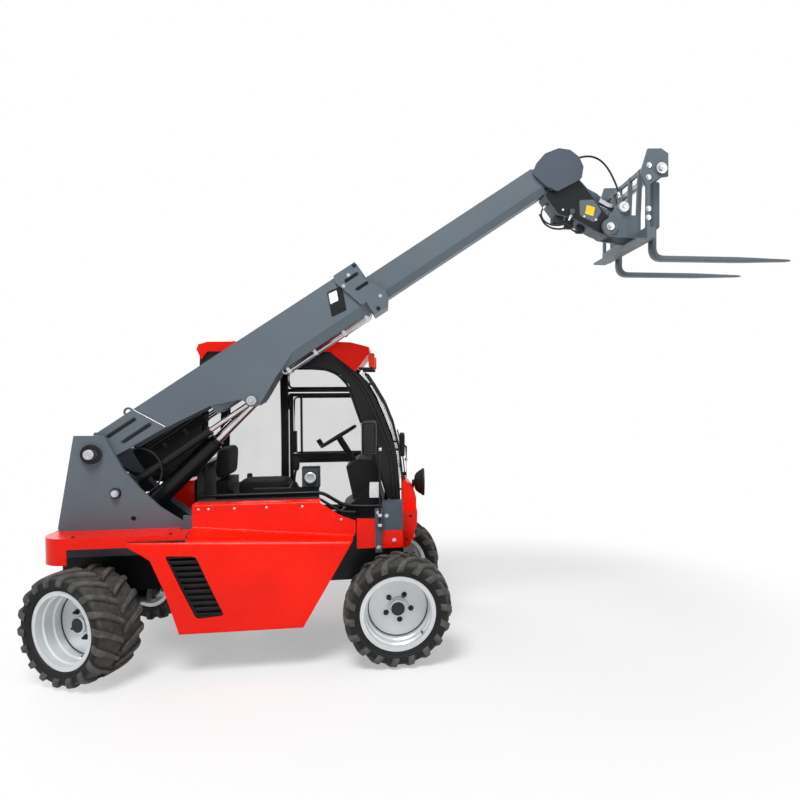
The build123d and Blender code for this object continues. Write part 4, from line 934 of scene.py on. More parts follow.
def makeMirrors():
    # glass set in the rear face of each housing, and clamps on the stalks
    faces = [superBox((-0.5545, -0.561, 1.322), (-0.5510, -0.439, 1.522), 8.0),
             superBox((-0.2995, 0.700, 1.182), (-0.295, 0.810, 1.356), 8.0)]
    addPiece("mirrorGlass", *joined(faces), "mirror", "black_plastic", "chassis", 50)
    ring = [(0.0085, -0.010), (0.015, -0.010), (0.016, -0.008), (0.016, 0.008), (0.015, 0.010),
            (0.0085, 0.010)]
    clamps = []
    for x, y, heights in ((-0.442, -0.4863, (0.850, 0.915, 1.345)), (-0.240, 0.700, (0.900, 1.150))):
        for z in heights:
            clamps.append(turnedSet([(x, y, z)], (0, 0, 1), ring + ring[:1], 20))
    addPiece("mirrorClamps", *joined(clamps), "zinc", "black_plastic", "chassis")


makeLamps()
makeMirrors()
print("lamps and mirrors made")


# --- pins, nuts and bolts

boomFrame = dict(x=-2.213, z=1.336, angle=34.4)  # pivot and slope of the boom at rest


def onBoom(u, w, y):
    # point given along the boom (u), square to it (w) and across the machine
    b, a = boomFrame, math.radians(boomFrame["angle"])
    return (b["x"] + u * math.cos(a) - w * math.sin(a), y, b["z"] + u * math.sin(a) + w * math.cos(a))


boltProfiles = dict(
    hexNut=([(0, 0), (1.9, 0), (1.9, 0.25), (1.25, 0.3), (1.25, 1.1), (1.1, 1.25), (0.62, 1.27),
             (0.62, 1.6), (0.5, 1.7), (0, 1.7)], (3, 4, 5)),
    hexBolt=([(0, 0), (1.7, 0), (1.7, 0.2), (1.15, 0.25), (1.15, 0.95), (1.0, 1.1), (0, 1.12)], (3, 4)),
    domeBolt=([(0, 0), (1.5, 0), (1.5, 0.18), (1.2, 0.24), (1.15, 0.6), (0.9, 0.85), (0.5, 0.98),
               (0, 1.02)], ()),
    pinCap=([(0, 0), (1.0, 0), (1.0, 0.62), (0.93, 0.7), (0.45, 0.72), (0.42, 0.66), (0, 0.66)], ()),
    washer=([(0.62, 0), (1.0, 0), (1.0, 0.12), (0.97, 0.15), (0.65, 0.15), (0.62, 0.12), (0.62, 0)], ()),
)
right, left, upward = (0, -1, 0), (0, 1, 0), (0, 0, 1)
boltRows = [
    # piece, kind, look, slot, body, direction, size, places
    ("pivotCaps", "pinCap", "zinc", "grey_paint", "chassis", right, 0.0315, [onBoom(0, 0, -0.4025)]),
    ("pivotRing", "washer", "black", "grey_paint", "chassis", right, 0.062, [onBoom(0, 0, -0.3808)]),
    ("pivotCapLeft", "hexBolt", "zinc", "grey_paint", "chassis", left, 0.018, [onBoom(0, 0, 0.0025)]),
    ("levelPinCap", "hexBolt", "zinc", "grey_paint", "chassis", right, 0.012, [(-2.079, -0.3868, 1.086)]),
    ("levelPinRing", "washer", "black", "grey_paint", "chassis", right, 0.034, [(-2.079, -0.3655, 1.086)]),
    ("basePinCap", "hexBolt", "black", "grey_paint", "chassis", right, 0.0085, [(-1.977, -0.342, 0.923)]),
    ("liftPinRing", "washer", "zinc", "grey_paint", "outer_boom", right, 0.030,
     [onBoom(0.969, -0.268, -0.3338)]),
    ("liftPinBolt", "hexBolt", "zinc", "grey_paint", "outer_boom", right, 0.0098,
     [onBoom(0.969, -0.268, -0.334)]),
    ("liftPinNutLeft", "hexBolt", "zinc", "grey_paint", "outer_boom", left, 0.0098,
     [onBoom(0.969, -0.268, -0.066)]),
    ("hubNut", "hexNut", "zinc", "grey_paint", "fork_carriage", right, 0.0145, [(1.171, -0.330, 2.874)]),
    ("hubNutLeft", "hexNut", "zinc", "grey_paint", "fork_carriage", left, 0.0145, [(1.171, -0.070, 2.874)]),
    ("tiltPinDisc", "pinCap", "silver", "grey_paint", "fork_carriage", right, 0.037,
     [(1.270, -0.316, 3.013)]),
    ("tiltPinBolt", "hexBolt", "zinc", "grey_paint", "fork_carriage", right, 0.009,
     [(1.270, -0.340, 3.013)]),
    ("tiltPinDiscLeft", "pinCap", "silver", "grey_paint", "fork_carriage", left, 0.037,
     [(1.270, -0.084, 3.013)]),
    ("shaftNuts", "hexNut", "zinc", "grey_paint", "fork_carriage", right, 0.020, [(1.475, -0.512, 3.240)]),
    ("shaftNutLeft", "hexNut", "zinc", "grey_paint", "fork_carriage", left, 0.020, [(1.475, 0.512, 3.240)]),
    ("cheekBolts", "hexBolt", "zinc", "grey_paint", "fork_carriage", right, 0.011,
     [(1.392, -0.492, 3.262), (1.388, -0.492, 3.180), (1.388, -0.492, 2.905), (1.388, -0.492, 2.965)]),
    ("coverBolts", "domeBolt", "zinc", "red_paint", "engine_cover", right, 0.0065,
     [(x, -0.4735, 0.985) for x in (-1.560, -1.500, -1.345, -1.150, -0.930)] + [(-0.688, -0.4735, 0.893)]),
    ("bracketBolts", "hexBolt", "zinc", "grey_paint", "chassis", right, 0.0085,
     [(-0.4495, -0.478, 0.930), (-0.4495, -0.472, 0.700)]),
    ("boxBolts", "hexBolt", "zinc", "grey_paint", "chassis", right, 0.0075,
     [(-0.398, -0.4562, 0.905), (-0.350, -0.4562, 0.742)]),
    ("noseBolts", "domeBolt", "black", "red_paint", "chassis", right, 0.006,
     [(-0.262, -0.2503, 0.700), (-0.235, -0.2503, 0.860)]),
    ("neckBolts", "hexBolt", "zinc", "black_steel", "inner_boom", right, 0.008,
     [(0.835, -0.2885, 2.985), (0.990, -0.2885, 2.945), (1.075, -0.2885, 2.925)]),
    ("collarBolts", "domeBolt", "black", "grey_paint", "outer_boom", right, 0.009,
     [onBoom(u, w, -0.335) for u, w in ((2.020, 0.095), (1.990, -0.225))]),
    ("collarScrews", "hexBolt", "zinc", "grey_paint", "outer_boom", right, 0.0070,
     [onBoom(u, w, -0.335) for u, w in ((1.952, 0.062), (1.885, 0.020), (2.048, -0.165))]),
    ("tailBolts", "domeBolt", "black", "red_paint", "chassis", upward, 0.0075,
     [(x, y, 0.8562) for x in (-2.33, -2.05, -1.78) for y in (0.30, 0.56)]
     + [(x, -0.56, 0.8562) for x in (-1.70, -2.25)]),
    ("roofBolts", "domeBolt", "black", "red_paint", "chassis", upward, 0.008,
     [(-1.45, y, 2.0665) for y in (0.06, 0.59)]),
    ("hitchPin", "pinCap", "zinc", "black_steel", "chassis", upward, 0.022, [(-2.492, 0.0, 0.6105)]),
]


def makeBolts():
    # one piece for each row: its profile, in units of its size, turned at every place
    for name, kind, look, slotName, body, way, size, places in boltRows:
        profile, hexRows = boltProfiles[kind]
        points, faces = turnedSet(places, way, np.array(profile) * size, 24, hexRows)
        addPiece(name, points, faces, look, slotName, body, 35)


makeBolts()
print("pins and bolts made")


# --- window seals, handles and mirrors

def tubes(lines, radius, sides=10, closed=False):
    # a round bar along each line
    return joined([carried(np.array(line, float), circleSection(radius, sides), closed) for line in lines])


def easedLine(corners, radius, steps=5):
    # open line whose inner corners are replaced by parabolas
    corners = np.asarray(corners, float)
    before = corners[:-2] - corners[1:-1]
    after = corners[2:] - corners[1:-1]
    before /= np.linalg.norm(before, axis=1, keepdims=True)
    after /= np.linalg.norm(after, axis=1, keepdims=True)
    q = np.linspace(0, 1, steps)[None, :, None]
    middle = corners[1:-1, None]
    arcs = parabola(q, middle + radius * before[:, None], middle, middle + radius * after[:, None])
    return np.concatenate([corners[:1], arcs.reshape(-1, 3), corners[-1:]])


def flatLine(outline, y):
    # an outline of (x, z) points at one y place
    return [(x, y, z) for x, z in outline]


def makeSeals():
    # rubber beads round the panes
    sill = [(-1.640, 0.998), (-0.850, 1.002), (-0.706, 0.908), (-0.600, 0.895), (-0.384, 0.891)]
    rightPane = [(-1.636, 1.010), (-1.603, 1.892), (-0.966, 1.892), (-0.868, 1.884), (-0.792, 1.864),
                 (-0.733, 1.836), (-0.664, 1.760), (-0.608, 1.588), (-0.576, 1.495), (-0.528, 1.347),
                 (-0.451, 1.156), (-0.388, 0.941)]
    beads = [tubes([easedLine(flatLine(sill, -0.006), 0.05)], 0.0125),
             tubes([easedLine(flatLine(rightPane, -0.0030), 0.03)], 0.0085)]
    addPiece("rightWindowSeal", *joined(beads), "seal", "hose_rubber", "chassis", 60)
    quarter = [(-1.640, 0.758), (-1.600, 1.893), (-1.222, 1.893), (-1.222, 0.758)]
    light = [(-1.158, 1.742), (-1.158, 1.893), (-0.968, 1.893), (-0.870, 1.884), (-0.790, 1.864),
             (-0.735, 1.838), (-0.668, 1.742)]
    upper = [(-1.122, 1.226), (-1.122, 1.666), (-0.664, 1.666), (-0.632, 1.590), (-0.600, 1.498),
             (-0.552, 1.350), (-0.504, 1.226)]
    lower = [(-1.122, 0.794), (-1.122, 1.148), (-0.476, 1.148), (-0.412, 0.926), (-0.418, 0.794)]
    for name, shapes, y, radius, body in (("leftWindowSeals", (quarter, light), 0.6535, 0.0075, "chassis"),
                                          ("doorSeals", (upper, lower), 0.6712, 0.006, "cab_door")):
        lines = [flatLine(roundedOutline(shape, 0.03), y) for shape in shapes]
        addPiece(name, *tubes(lines, radius, closed=True), "seal", "hose_rubber", body, 60)


def makeHandles():
    # bent door handle and a grab rail beside the door
    grip = easedLine([(-0.545, 0.694, 1.176), (-0.545, 0.722, 1.176), (-0.490, 0.722, 1.176),
                      (-0.490, 0.694, 1.176)], 0.012)
    addPiece("doorHandle", *tubes([grip], 0.0085), "plastic", "black_plastic", "cab_door", 60)
    rail = easedLine([(-1.190, 0.690, 1.060), (-1.190, 0.735, 1.060), (-1.190, 0.735, 1.520),
                      (-1.190, 0.690, 1.520)], 0.025)
    addPiece("grabRail", *tubes([rail], 0.011, 14), "black", "black_steel", "chassis", 60)


def makeMirrorBodies():
    # housings on bent stalks, and a bead round the right-hand housing's outer face
    housings = [superBox((-0.552, -0.570, 1.311), (-0.458, -0.430, 1.533), 7.0, 24, 48),
                superBox((-0.294, 0.690, 1.172), (-0.250, 0.820, 1.366), 7.0, 24, 48)]
    stalks = tubes([
        easedLine([(-0.442, -0.4863, 0.838), (-0.442, -0.4863, 1.364), (-0.480, -0.4863, 1.364)], 0.010),
        easedLine([(-0.308, 0.672, 0.905), (-0.308, 0.700, 0.905), (-0.240, 0.700, 0.905),
                   (-0.240, 0.700, 1.262), (-0.262, 0.700, 1.262)], 0.018)],
        0.008, 14)
    addPiece("mirrorBodies", *joined(housings + [stalks]), "plastic", "black_plastic", "chassis", 50,
             ("mirrors",))
    rim = roundedOutline([(-0.541, 1.324), (-0.469, 1.324), (-0.469, 1.520), (-0.541, 1.520)], 0.012)
    rims = tubes([flatLine(rim, -0.568)], 0.0035, closed=True)
    addPiece("mirrorRims", *rims, "seal", "black_plastic", "chassis", 60)


makeSeals()
makeHandles()
makeMirrorBodies()
print("seals and mirrors made")


# --- forks

forkSizes = dict(
    middle=0.360, width=0.080, shank=1.468, top=3.225, heel=2.649, tip=2.524, bend=0.075,
    # thickness, and share of the width that is left, at places along x
    thickX=(1.484, 1.56, 2.10, 2.50, 2.524), thick=(0.036, 0.034, 0.032, 0.012, 0.008),
    narrowX=(2.20, 2.46, 2.515, 2.524), narrow=(1.0, 0.80, 0.58, 0.40),
    sleeveZ=(2.852, 2.866, 3.166, 3.178), sleeveThick=(0.060, 0.084, 0.084, 0.074),
    sleeveWide=(0.062, 0.072, 0.072, 0.068), eye=(1.475, 0.0, 3.240))


def barAlong(line, thickness, width, corner=0.006, steps=3):
    # bar of varying thickness and width whose middle line lies in an upright plane; the section is a
    # rectangle with rounded corners
    line = np.asarray(line, float)
    ahead = np.gradient(line, axis=0)
    ahead /= np.linalg.norm(ahead, axis=1, keepdims=True)
    normal = np.stack([-ahead[:, 1], ahead[:, 0]], 1)
    angle = np.linspace(0, np.pi / 2, steps)
    quarter = np.stack([np.cos(angle), np.sin(angle)], 1)
    ring, centre = [], []
    for across, up, order in ((1, 1, 1), (-1, 1, -1), (-1, -1, 1), (1, -1, -1)):
        ring.append(quarter[::order] * (across, up))
        centre.append(np.tile((across, up), (steps, 1)))
    ring, centre = np.concatenate(ring), np.concatenate(centre)
    halves = np.stack([width / 2, thickness / 2], 1)[:, None]
    eased = np.minimum(corner, halves.min(-1, keepdims=True) * 0.6)
    flat = centre * (halves - eased) + ring * eased
    points = np.stack([
        line[:, None, 0] + normal[:, None, 0] * flat[..., 1], flat[..., 0],
        line[:, None, 1] + normal[:, None, 1] * flat[..., 1]], -1)
    cap0, cap1 = points[:1].mean(1, keepdims=True), points[-1:].mean(1, keepdims=True)
    ends = [np.broadcast_to(cap0, points[:1].shape), points, np.broadcast_to(cap1, points[:1].shape)]
    points = np.concatenate(ends)
    faces = gridFaces(points.shape[0], points.shape[1], closeColumns=True)
    points = points.reshape(-1, 3)
    return points, outward(points, faces)


def makeFork(name, node, middle):
    # L-shaped bar: upright shank, a heel drawn as a parabola and a blade that thins towards its tip; a
    # sleeve is on the shank and an eye on the shaft
    f = forkSizes
    corners = np.array([(f["shank"], f["top"]), (f["shank"], f["heel"]), (f["tip"], f["heel"] + 0.010)])
    shank = np.linspace(corners[0], corners[1] + (0, f["bend"]), 14)
    q = np.linspace(0, 1, 14)[1:-1, None]
    start, end = corners[1] + (0, f["bend"]), corners[1] + (f["bend"], 0)
    heel = parabola(q, start, corners[1], end)
    blade = np.linspace(end, corners[2], 40)
    line = np.concatenate([shank, heel, blade])
    x = line[:, 0]
    thickness = np.interp(x, f["thickX"], f["thick"])
    width = f["width"] * np.interp(x, f["narrowX"], f["narrow"])
    bar, faces = barAlong(line, thickness, width)
    sleeve = [(f["shank"], z) for z in f["sleeveZ"]]
    pad, padFaces = barAlong(sleeve, np.array(f["sleeveThick"]), np.array(f["sleeveWide"]))
    eye = [(0.0285, -0.040), (0.050, -0.040), (0.052, -0.038), (0.052, 0.038), (0.050, 0.040),
           (0.0285, 0.040), (0.0285, -0.040)]
    ring = turnedSet([f["eye"]], (0, 1, 0), eye, 40)
    points, faces = joined([(bar, faces), (pad, padFaces), ring])
    points = points + (0, middle, 0)
    addPiece(name, points, faces, "slate", "grey_paint", "fork_carriage", 35, (node,))


makeFork("forkRight", "fork_right", -forkSizes["middle"])
makeFork("forkLeft", "fork_left", forkSizes["middle"])
print("forks made")


# --- hydraulic lines, a painted shade sheet and screens

def fromBoom(points, y):
    # points given along and square to the boom, at one y place
    return np.array([onBoom(u, w, y) for u, w in points])


def makeLines():
    # rigid lines beside the outer boom's left wall, and the clamps that hold them
    lines = [easedLine(fromBoom([(0.225 + 0.02 * k, w), (0.60, w), (0.862 - 0.012 * k, w)], -0.0815), 0.02)
             for k, w in enumerate((-0.158, -0.173, -0.188))]
    addPiece("boomLines", *tubes(lines, 0.0065), "rubber", "black_steel", "outer_boom", 60)
    clamps = []
    for u in (0.30, 0.46, 0.62, 0.78):
        middle = np.array([onBoom(u - 0.012, -0.173, 0), onBoom(u + 0.012, -0.173, 0)])[:, (0, 2)]
        steps = np.linspace(middle[0], middle[1], 4)
        points, faces = barAlong(steps, np.array([0.046, 0.050, 0.050, 0.046]), np.full(4, 0.015))
        clamps.append((points + (0, -0.0805, 0), faces))
    addPiece("lineClamps", *joined(clamps), "iron", "black_steel", "outer_boom", 40)


screenSizes = dict(
    rearX=-1.785, frontX=-1.350, low=0.335, high=0.755, lean=0.205, columns=200, rows=22,
    pleat=0.004, front=-0.598, back=-0.588)


def makeScreens():
    # dust screen behind the cover's slats: a leaning sheet whose front is a sine of four columns a pleat,
    # closed by a flat back; and a black sheet inside the left-hand pedestal plate as painted shade
    p = screenSizes
    x = np.linspace(p["rearX"], p["frontX"], p["columns"])
    wave = p["pleat"] * np.sin(np.arange(p["columns"]) * np.pi / 2)
    z = np.linspace(p["low"], p["high"], p["rows"])
    keepX = np.interp(z, [p["low"], p["high"]], [p["lean"], 0.0])[:, None]
    px = x[None, :] * 0.5 - 0.865 + keepX * 0.86
    front = np.stack([px, p["front"] + wave[None, :] + 0 * z[:, None], z[:, None] + 0 * px], -1)
    back = front.copy()
    back[..., 1] = p["back"]
    grid = np.concatenate([front, back[::-1]])
    points = grid.reshape(-1, 3)
    faces = outward(points, gridFaces(len(grid), p["columns"], closeRows=True))
    addPiece("coverScreen", points, faces, "mesh", "black_steel", "engine_cover", 20)
    # black sheet standing in for the shade on the left-hand pedestal plate's inner face
    shadeSheetOutline = [(-2.26, 0.86), (-2.235, 1.22), (-2.150, 1.230), (-2.085, 1.185), (-2.020, 1.175),
             (-1.925, 1.055), (-1.815, 0.955), (-1.720, 0.875), (-1.720, 0.735), (-2.26, 0.735)]
    shadeSheetOutline = roundedOutline(shadeSheetOutline, 0.015)
    addPiece("pedestalShadeSheet", *prism(shadeSheetOutline, -0.0655, -0.0605), "mesh", "black_steel", "chassis", 30)


makeLines()
makeScreens()
print("lines and screens made")


# --- blank stickers and painted marks

stickerSizes = dict(lift=0.0006, corner=0.006, steps=4)
stickerRows = [
    # piece, look, body, four corners
    ("boomPlate", "black", "outer_boom",
     [(-0.778, -0.3203, 2.376), (-0.681, -0.3203, 2.424), (-0.651, -0.3203, 2.253),
      (-0.748, -0.3203, 2.212)]),
    ("boomLabel", "white", "outer_boom",
     [(-0.768, -0.3211, 2.366), (-0.716, -0.3211, 2.392), (-0.704, -0.3211, 2.322),
      (-0.756, -0.3211, 2.298)]),
    ("postLabel", "white", "chassis",
     [(-0.518, -0.0203, 1.068), (-0.448, -0.0203, 1.066), (-0.450, -0.0203, 0.955),
      (-0.521, -0.0203, 0.957)]),
    ("neckLabel", "yellow", "inner_boom",
     [(1.010, -0.2928, 3.028), (1.070, -0.2928, 3.012), (1.056, -0.2928, 2.950), (0.996, -0.2928, 2.966)]),
]


def makeSticker(name, look, body, corners):
    # thin rounded plate from four corners in one plane, lifted along their normal
    corners = np.asarray(corners, float)
    across, up = corners[1] - corners[0], corners[3] - corners[0]
    normal = np.cross(across, up)
    normal /= np.linalg.norm(normal)
    wide, high = np.linalg.norm(across), np.linalg.norm(up)
    box = [(0, 0), (wide, 0), (wide, high), (0, high)]
    flat = roundedOutline(box, stickerSizes["corner"], stickerSizes["steps"])
    across, up = across / wide, up / high
    outline = corners[0] + flat[:, :1] * across + flat[:, 1:] * up
    middle = np.broadcast_to(outline.mean(0), outline.shape)
    rise = normal * stickerSizes["lift"]
    points = np.concatenate([middle, outline, outline + rise, middle + rise])
    faces = outward(points, gridFaces(4, len(outline), closeColumns=True))
    addPiece(name, points, faces, look, "black_plastic", body, 30)


for stickerRow in stickerRows:
    makeSticker(*stickerRow)
print("stickers made")


# --- hose guard, neck plates painted as shade and valve, post rails, painted highlight and shade on the boom

def ribbedPlate(outline, y, thickness, direction, pitch, height, rows=90, columns=70):
    # upright plate between a low and a high line; its outer face carries ribs that are the upper halves
    # of a sine across their direction and fade to nothing at the border
    lowLine, highLine = (np.asarray(line, float) for line in outline)
    x = np.linspace(lowLine[0, 0], lowLine[-1, 0], columns)
    low, high = np.interp(x, *lowLine.T), np.interp(x, *highLine.T)
    share = np.linspace(0, 1, rows)[:, None]
    z = low + (high - low) * share
    across = z * math.cos(direction) - x * math.sin(direction)
    rise = height * np.clip(np.sin(2 * np.pi * across / pitch), 0, 1)
    inwards = np.minimum(np.arange(columns), np.arange(columns)[::-1])
    edge = np.minimum(np.minimum(share, 1 - share) * 12, 1) * np.minimum(inwards / 3, 1)
    front = np.stack([x + 0 * z, y - rise * edge, z], -1)
    back = np.stack([x + 0 * z, np.full_like(z, y + thickness), z], -1)
    points = np.concatenate([front.reshape(-1, 3), back.reshape(-1, 3)])
    grid = gridFaces(rows, columns)
    count = rows * columns
    index = np.arange(count).reshape(rows, columns)
    border = np.concatenate([index[0, :-1], index[:-1, -1], index[-1, :0:-1], index[:0:-1, 0]])
    following = np.roll(border, -1)
    sides = np.stack([border, following, following + count, border + count], 1)
    return points, outward(points, np.concatenate([grid, grid[:, ::-1] + count, sides]))


def makeHoseGuard():
    # ribbed plate beside the boom's pivot
    lowLine = [(-2.105, 1.255), (-1.960, 1.120), (-1.850, 1.105), (-1.640, 1.150)]
    highLine = [(-2.105, 1.350), (-1.960, 1.458), (-1.850, 1.535), (-1.640, 1.670)]
    points, faces = ribbedPlate((lowLine, highLine), -0.0555, 0.004, math.radians(boomFrame["angle"]),
                                0.022, 0.004)
    addPiece("hoseGuard", points, faces, "black", "black_steel", "chassis", 60)


def makeNeck():
    # black plates over the neck's sides as painted shade, and the load-holding valve with its fittings below
    # it
    # thin black plates on both sides of the neck paint the shade that falls there
    plate = roundedOutline([(0.772, 3.180), (0.928, 3.222), (1.004, 3.144), (1.114, 3.006), (1.216, 2.902),
                            (1.212, 2.836), (1.158, 2.823), (1.082, 2.848), (0.903, 2.938), (0.806, 2.958),
                            (0.710, 3.080)], 0.014)
    plates = [prism(plate, low, high) for low, high in ((-0.2905, -0.2878), (-0.1122, -0.1095))]
    addPiece("neckShadePlates", *joined(plates), "black", "black_steel", "inner_boom", 30)
    inset = roundedOutline([(0.955, 3.058), (1.060, 3.066), (1.118, 2.985), (1.064, 2.905), (0.960, 2.950)],
                           0.016)
    addPiece("neckInset", *prism(inset, -0.2925, -0.2903), "slate", "grey_paint", "inner_boom", 30)
    blocks = [superBox((0.770, -0.262, 2.896), (0.850, -0.176, 2.950), 9.0),
              superBox((0.868, -0.250, 2.872), (0.924, -0.180, 2.928), 9.0),
              superBox((0.955, -0.244, 2.846), (1.010, -0.172, 2.896), 9.0)]
    nut = np.array(boltProfiles["hexBolt"][0]) * 0.011
    for x, z in ((0.790, 2.896), (0.830, 2.896), (0.896, 2.872), (0.982, 2.846)):
        blocks.append(turnedSet([(x, -0.240, z + 0.004)], (0, 0, -1), nut, 18, (3, 4)))
    lines = tubes([
        easedLine([(0.700, -0.150, 2.985), (0.735, -0.150, 2.915), (0.790, -0.170, 2.880),
                   (0.860, -0.200, 2.872), (0.885, -0.215, 2.885)], 0.03),
        easedLine([(0.850, -0.250, 2.915), (0.915, -0.262, 2.852), (0.965, -0.240, 2.836),
                   (0.985, -0.220, 2.850)], 0.02)], 0.0065)
    addPiece("neckValve", *joined(blocks + [lines]), "iron", "black_steel", "inner_boom", 35)


def makePostRails():
    # pairs of rubber rails down the cab's front posts
    front = np.array([(-0.700, 1.940), (-0.615, 1.862), (-0.545, 1.785), (-0.485, 1.685), (-0.414, 1.520),
                      (-0.350, 1.346), (-0.316, 1.186), (-0.304, 1.027), (-0.301, 0.960)])
    rails = [easedLine(flatLine(front - (shift, 0), y), 0.03)
             for y in (-0.0225, 0.6725) for shift in (0.022, 0.050)]
    addPiece("postRails", *tubes(rails, 0.0085, 12), "seal", "black_steel", "chassis", 60)


def makeEdges():
    # pale bead along the rear stiffener's end, partly worn paint and partly painted highlight, and black
    # inlays on the boom's slot floors as painted shade
    # pale tube: partly worn paint, partly painted highlight
    bead = [onBoom(u, w, -0.3305) for u, w in ((0.347, 0.094), (0.394, -0.006), (0.440, -0.104))]
    addPiece("stiffenerWearAndHighlight", *tubes([bead], 0.0030, 8), "white", "grey_paint", "outer_boom", 60)
    # black inlays paint the shade on the slots' floors, which are the boom's slate face
    slots = [(0.122, 0.318, 0.041), (0.177, 0.373, -0.039), (1.916, 2.004, 0.040), (1.946, 2.034, -0.045)]
    shades = []
    for start, end, w in slots:
        low, high = w - 0.009, w + 0.009
        ring = [onBoom(u, v, 0) for u, v in ((start, low), (end, low), (end, high), (start, high))]
        shades.append(prism(roundedOutline([(x, z) for x, _, z in ring], 0.008), -0.3225, -0.3202))
    addPiece("slotPaintedShade", *joined(shades), "black", "grey_paint", "outer_boom", 30)


def makeCabDetail():
    # control box face with its knob, joystick in a rubber boot, pedals and wiper
    ring = [(0.0, 0), (0.040, 0), (0.040, 0.008), (0.034, 0.012), (0.022, 0.011), (0.018, 0.006),
            (0.0, 0.006)]
    addPiece("controlKnob", *turnedSet([(-0.932, 0.0082, 1.106)], (0, -1, 0), ring, 36), "silver",
             "black_plastic", "chassis", 30)
    face = roundedOutline([(-0.986, 1.040), (-0.878, 1.040), (-0.878, 1.170), (-0.986, 1.170)], 0.012)
    addPiece("controlFace", *prism(face, 0.0305, 0.0358), "slate", "black_plastic", "chassis", 30)
    lever = [(-1.050, 0.080, 1.028), (-1.050, 0.080, 1.110), (-1.035, 0.084, 1.170)]
    stick = tubes([easedLine(lever, 0.03)], 0.008)
    grip = superBox((-1.058, 0.060, 1.150), (-1.014, 0.106, 1.250), 3.0)
    bellows = [(0, 0), (0.036, 0), (0.036, 0.006), (0.026, 0.012), (0.028, 0.020), (0.018, 0.028),
               (0.020, 0.036), (0.010, 0.044), (0, 0.044)]
    boot = turnedSet([(-1.050, 0.080, 1.028)], (0, 0, 1), bellows, 24)
    addPiece("joystick", *joined([stick, grip, boot]), "plastic", "black_plastic", "chassis", 50)
    pedals, arms, bend = [], [], [(-0.575, 0.870), (-0.545, 0.925), (-0.540, 0.940)]
    for y in (0.215, 0.380):
        pedals.append(superBox((-0.600, y, 0.765), (-0.560, y + 0.085, 0.880), 6.0))
        arms.append(easedLine(flatLine(bend, y + 0.042), 0.02))
    addPiece("pedals", *joined(pedals + [tubes(arms, 0.007)]), "plastic", "black_plastic", "chassis", 50)
    sweep = [(-0.262, 0.330, 1.085), (-0.276, 0.330, 1.240), (-0.315, 0.330, 1.420)]
    blade = tubes([easedLine(sweep, 0.1)], 0.005)
    arm = superBox((-0.286, 0.312, 1.066), (-0.246, 0.348, 1.092), 5.0)
    addPiece("wiper", *joined([blade, arm]), "plastic", "black_plastic", "chassis", 50)


makeHoseGuard()
makeNeck()
makePostRails()
makeEdges()
makeCabDetail()
print("guards and cab details made")


# --- padded seat

seatShapes = dict(
    cushion=((-1.492, 0.123, 0.968), (-1.098, 0.547, 1.056)),
    back=((-1.604, 0.123, 1.092), (-1.534, 0.547, 1.318)),
    lean=0.06, voxel=0.006, pressure=4.0, frames=20, cap=0.009, channels=(-0.28, 0.0, 0.28),
    channelDepth=0.006, channelWidth=0.012)


def padShape(low, high, lean=0.0):
    # full box with eased edges whose sides draw in between the corners
    points, faces = superBox(low, high, 5.5, 30, 60)
    low, high = np.asarray(low), np.asarray(high)
    unit = (points - (low + high) / 2) / (high - low) * 2
    draw = 1 - 0.035 * (1 - abs(unit[:, 2])) * (abs(unit[:, :2]).max(1) > 0.5)
    points[:, :2] = (low + high)[:2] / 2 + (points[:, :2] - (low + high)[:2] / 2) * draw[:, None]
    points[:, 0] -= lean * (points[:, 2] - low[2])
    return points, faces


def inflate(piece):
    # swells a pad with cloth pressure, then holds each point near where it began
    remesh = piece.modifiers.new("remesh", "REMESH")
    remesh.mode, remesh.voxel_size = "VOXEL", seatShapes["voxel"]
    settle(piece)
    mesh = piece.data
    start = np.empty(len(mesh.vertices) * 3)
    mesh.vertices.foreach_get("co", start)
    puff = piece.modifiers.new("puff", "CLOTH")
    puff.settings.use_pressure = True
    puff.settings.uniform_pressure_force = seatShapes["pressure"]
    puff.settings.effector_weights.gravity = 0.0
    for frame in range(1, seatShapes["frames"] + 1):
        scene.frame_set(frame)
    settle(piece)
    scene.frame_set(1)
    end = np.empty_like(start)
    piece.data.vertices.foreach_get("co", end)
    step = (end - start).reshape(-1, 3)
    length = np.linalg.norm(step, axis=1, keepdims=True)
    step *= np.minimum(1.0, seatShapes["cap"] / np.maximum(length, 1e-9))
    piece.data.vertices.foreach_set("co", (start.reshape(-1, 3) + step).ravel())
    piece.data.update()


def quilt(piece, low, high):
    # presses sewn channels into a finished pad; each groove is a narrow bell curve
    mesh = piece.data
    points = np.empty(len(mesh.vertices) * 3)
    mesh.vertices.foreach_get("co", points)
    points = points.reshape(-1, 3)
    y = (points[:, 1] - (low[1] + high[1]) / 2) / (high[1] - low[1])
    groove = sum(np.exp(-((y - at) / seatShapes["channelWidth"]) ** 2) for at in seatShapes["channels"])
    centre = (np.asarray(low) + high) / 2
    inwards = centre - points
    inwards[:, 1] = 0
    inwards /= np.maximum(np.linalg.norm(inwards, axis=1, keepdims=True), 1e-6)
    points += inwards * (seatShapes["channelDepth"] * groove)[:, None]
    mesh.vertices.foreach_set("co", points.ravel())
    mesh.update()


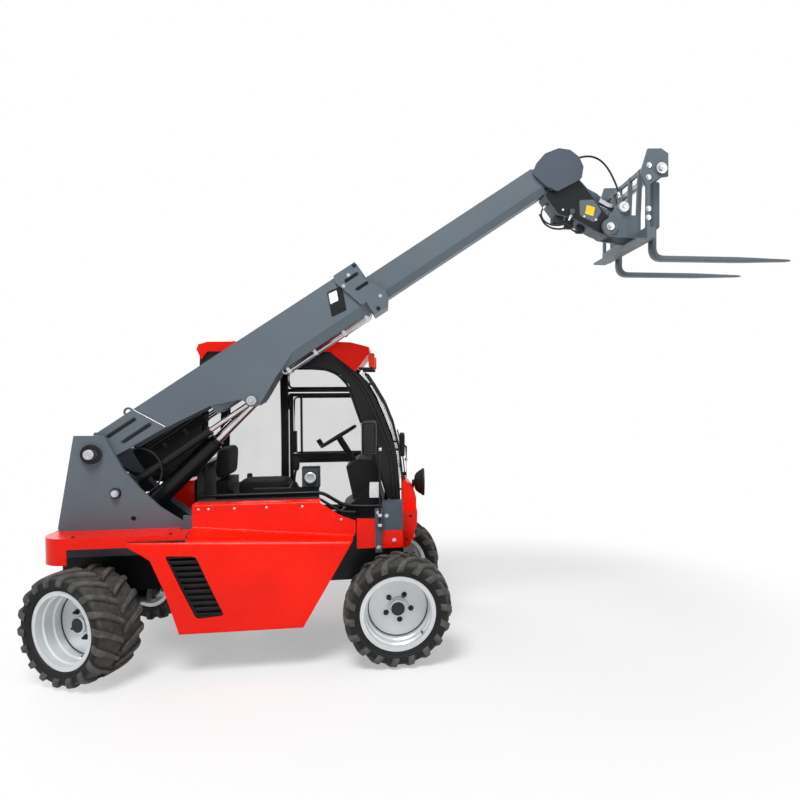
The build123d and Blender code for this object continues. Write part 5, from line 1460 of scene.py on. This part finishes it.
def makeSeat():
    # padded cushion and backrest, and the two belt anchors
    low, high = seatShapes["cushion"]
    cushion = addPiece("seatCushion", *padShape(low, high), "cloth", "seat_cloth", "chassis", 60, ("seat",))
    backLow, backHigh = seatShapes["back"]
    back = addPiece("seatBack", *padShape(backLow, backHigh, -seatShapes["lean"]), "cloth", "seat_cloth",
                    "chassis", 60)
    for piece, (a, b) in ((cushion, (low, high)), (back, (backLow, backHigh))):
        inflate(piece)
        soft = piece.modifiers.new("soft", "SUBSURF")
        soft.levels = soft.render_levels = 1
        settle(piece)
        quilt(piece, a, b)
        piece.data.materials.clear()
        piece.data.materials.append(looks["cloth"])
        piece.data.shade_smooth()
    belt = [superBox((-1.470, y, 0.985), (-1.430, y + 0.022, 1.080), 6.0) for y in (0.090, 0.558)]
    addPiece("seatTrim", *joined(belt), "trim", "black_plastic", "chassis", 50)


makeSeat()
print("seat made")


# --- wheel centres and the cover's panel line

hubSizes = dict(
    capOut=0.0262, beadIn=0.0225, beadRing=0.1865, bead=0.0028,
    cap=[(0, -0.002), (0.041, -0.002), (0.043, 0.0), (0.043, 0.002), (0.039, 0.004), (0.030, 0.003),
         (0.012, 0.0025), (0, 0.0025)])


def makeHub(name):
    # dark disc on the hub as painted shade in its open centre, and a black bead round the disc's edge
    h = hubSizes
    middle, out, ahead, up = wheelAxes(name)
    # dark disc standing in for the shade inside the hub's open centre
    points, faces = turnedSet([middle + out * h["capOut"]], out, h["cap"], 40)
    turn = np.linspace(0, 2 * np.pi, 96, endpoint=False)[:, None]
    circle = middle - out * h["beadIn"] + h["beadRing"] * (np.cos(turn) * up + np.sin(turn) * ahead)
    bead = carried(circle, circleSection(h["bead"], 8), True)
    addPiece(wheelPiece(name, "HubShadeAndBead"), *joined([(points, faces), bead]), "iron", "silver_paint",
             name + "_wheel", 40)


for wheel in wheels:
    makeHub(wheel)


def makePanelLine():
    # dark joint line on the skirt's outer face: flat, less a crown that is a squared sine of the height
    c = coverSizes
    low, high = c["low"], c["shelfOut"][0] - 0.022
    bends = [(-1.880, 0.772), (-1.752, 0.768), (-1.575, 0.352), (-1.570, 0.272)]
    run = easedLine(flatLine(bends, 0), 0.03)
    dense = np.concatenate([np.linspace(a, b, 12, endpoint=False) for a, b in zip(run[:-1], run[1:])])
    bulge = np.sin(np.pi * np.clip((high - dense[:, 2]) / (high - low), 0, 1)) ** 2
    dense[:, 1] = c["skirt"] - c["crown"] * bulge + 0.0004
    addPiece("coverPanelLine", *tubes([dense], 0.0016, 6), "black", "red_paint", "engine_cover", 60)


makePanelLine()
print("panel line made")
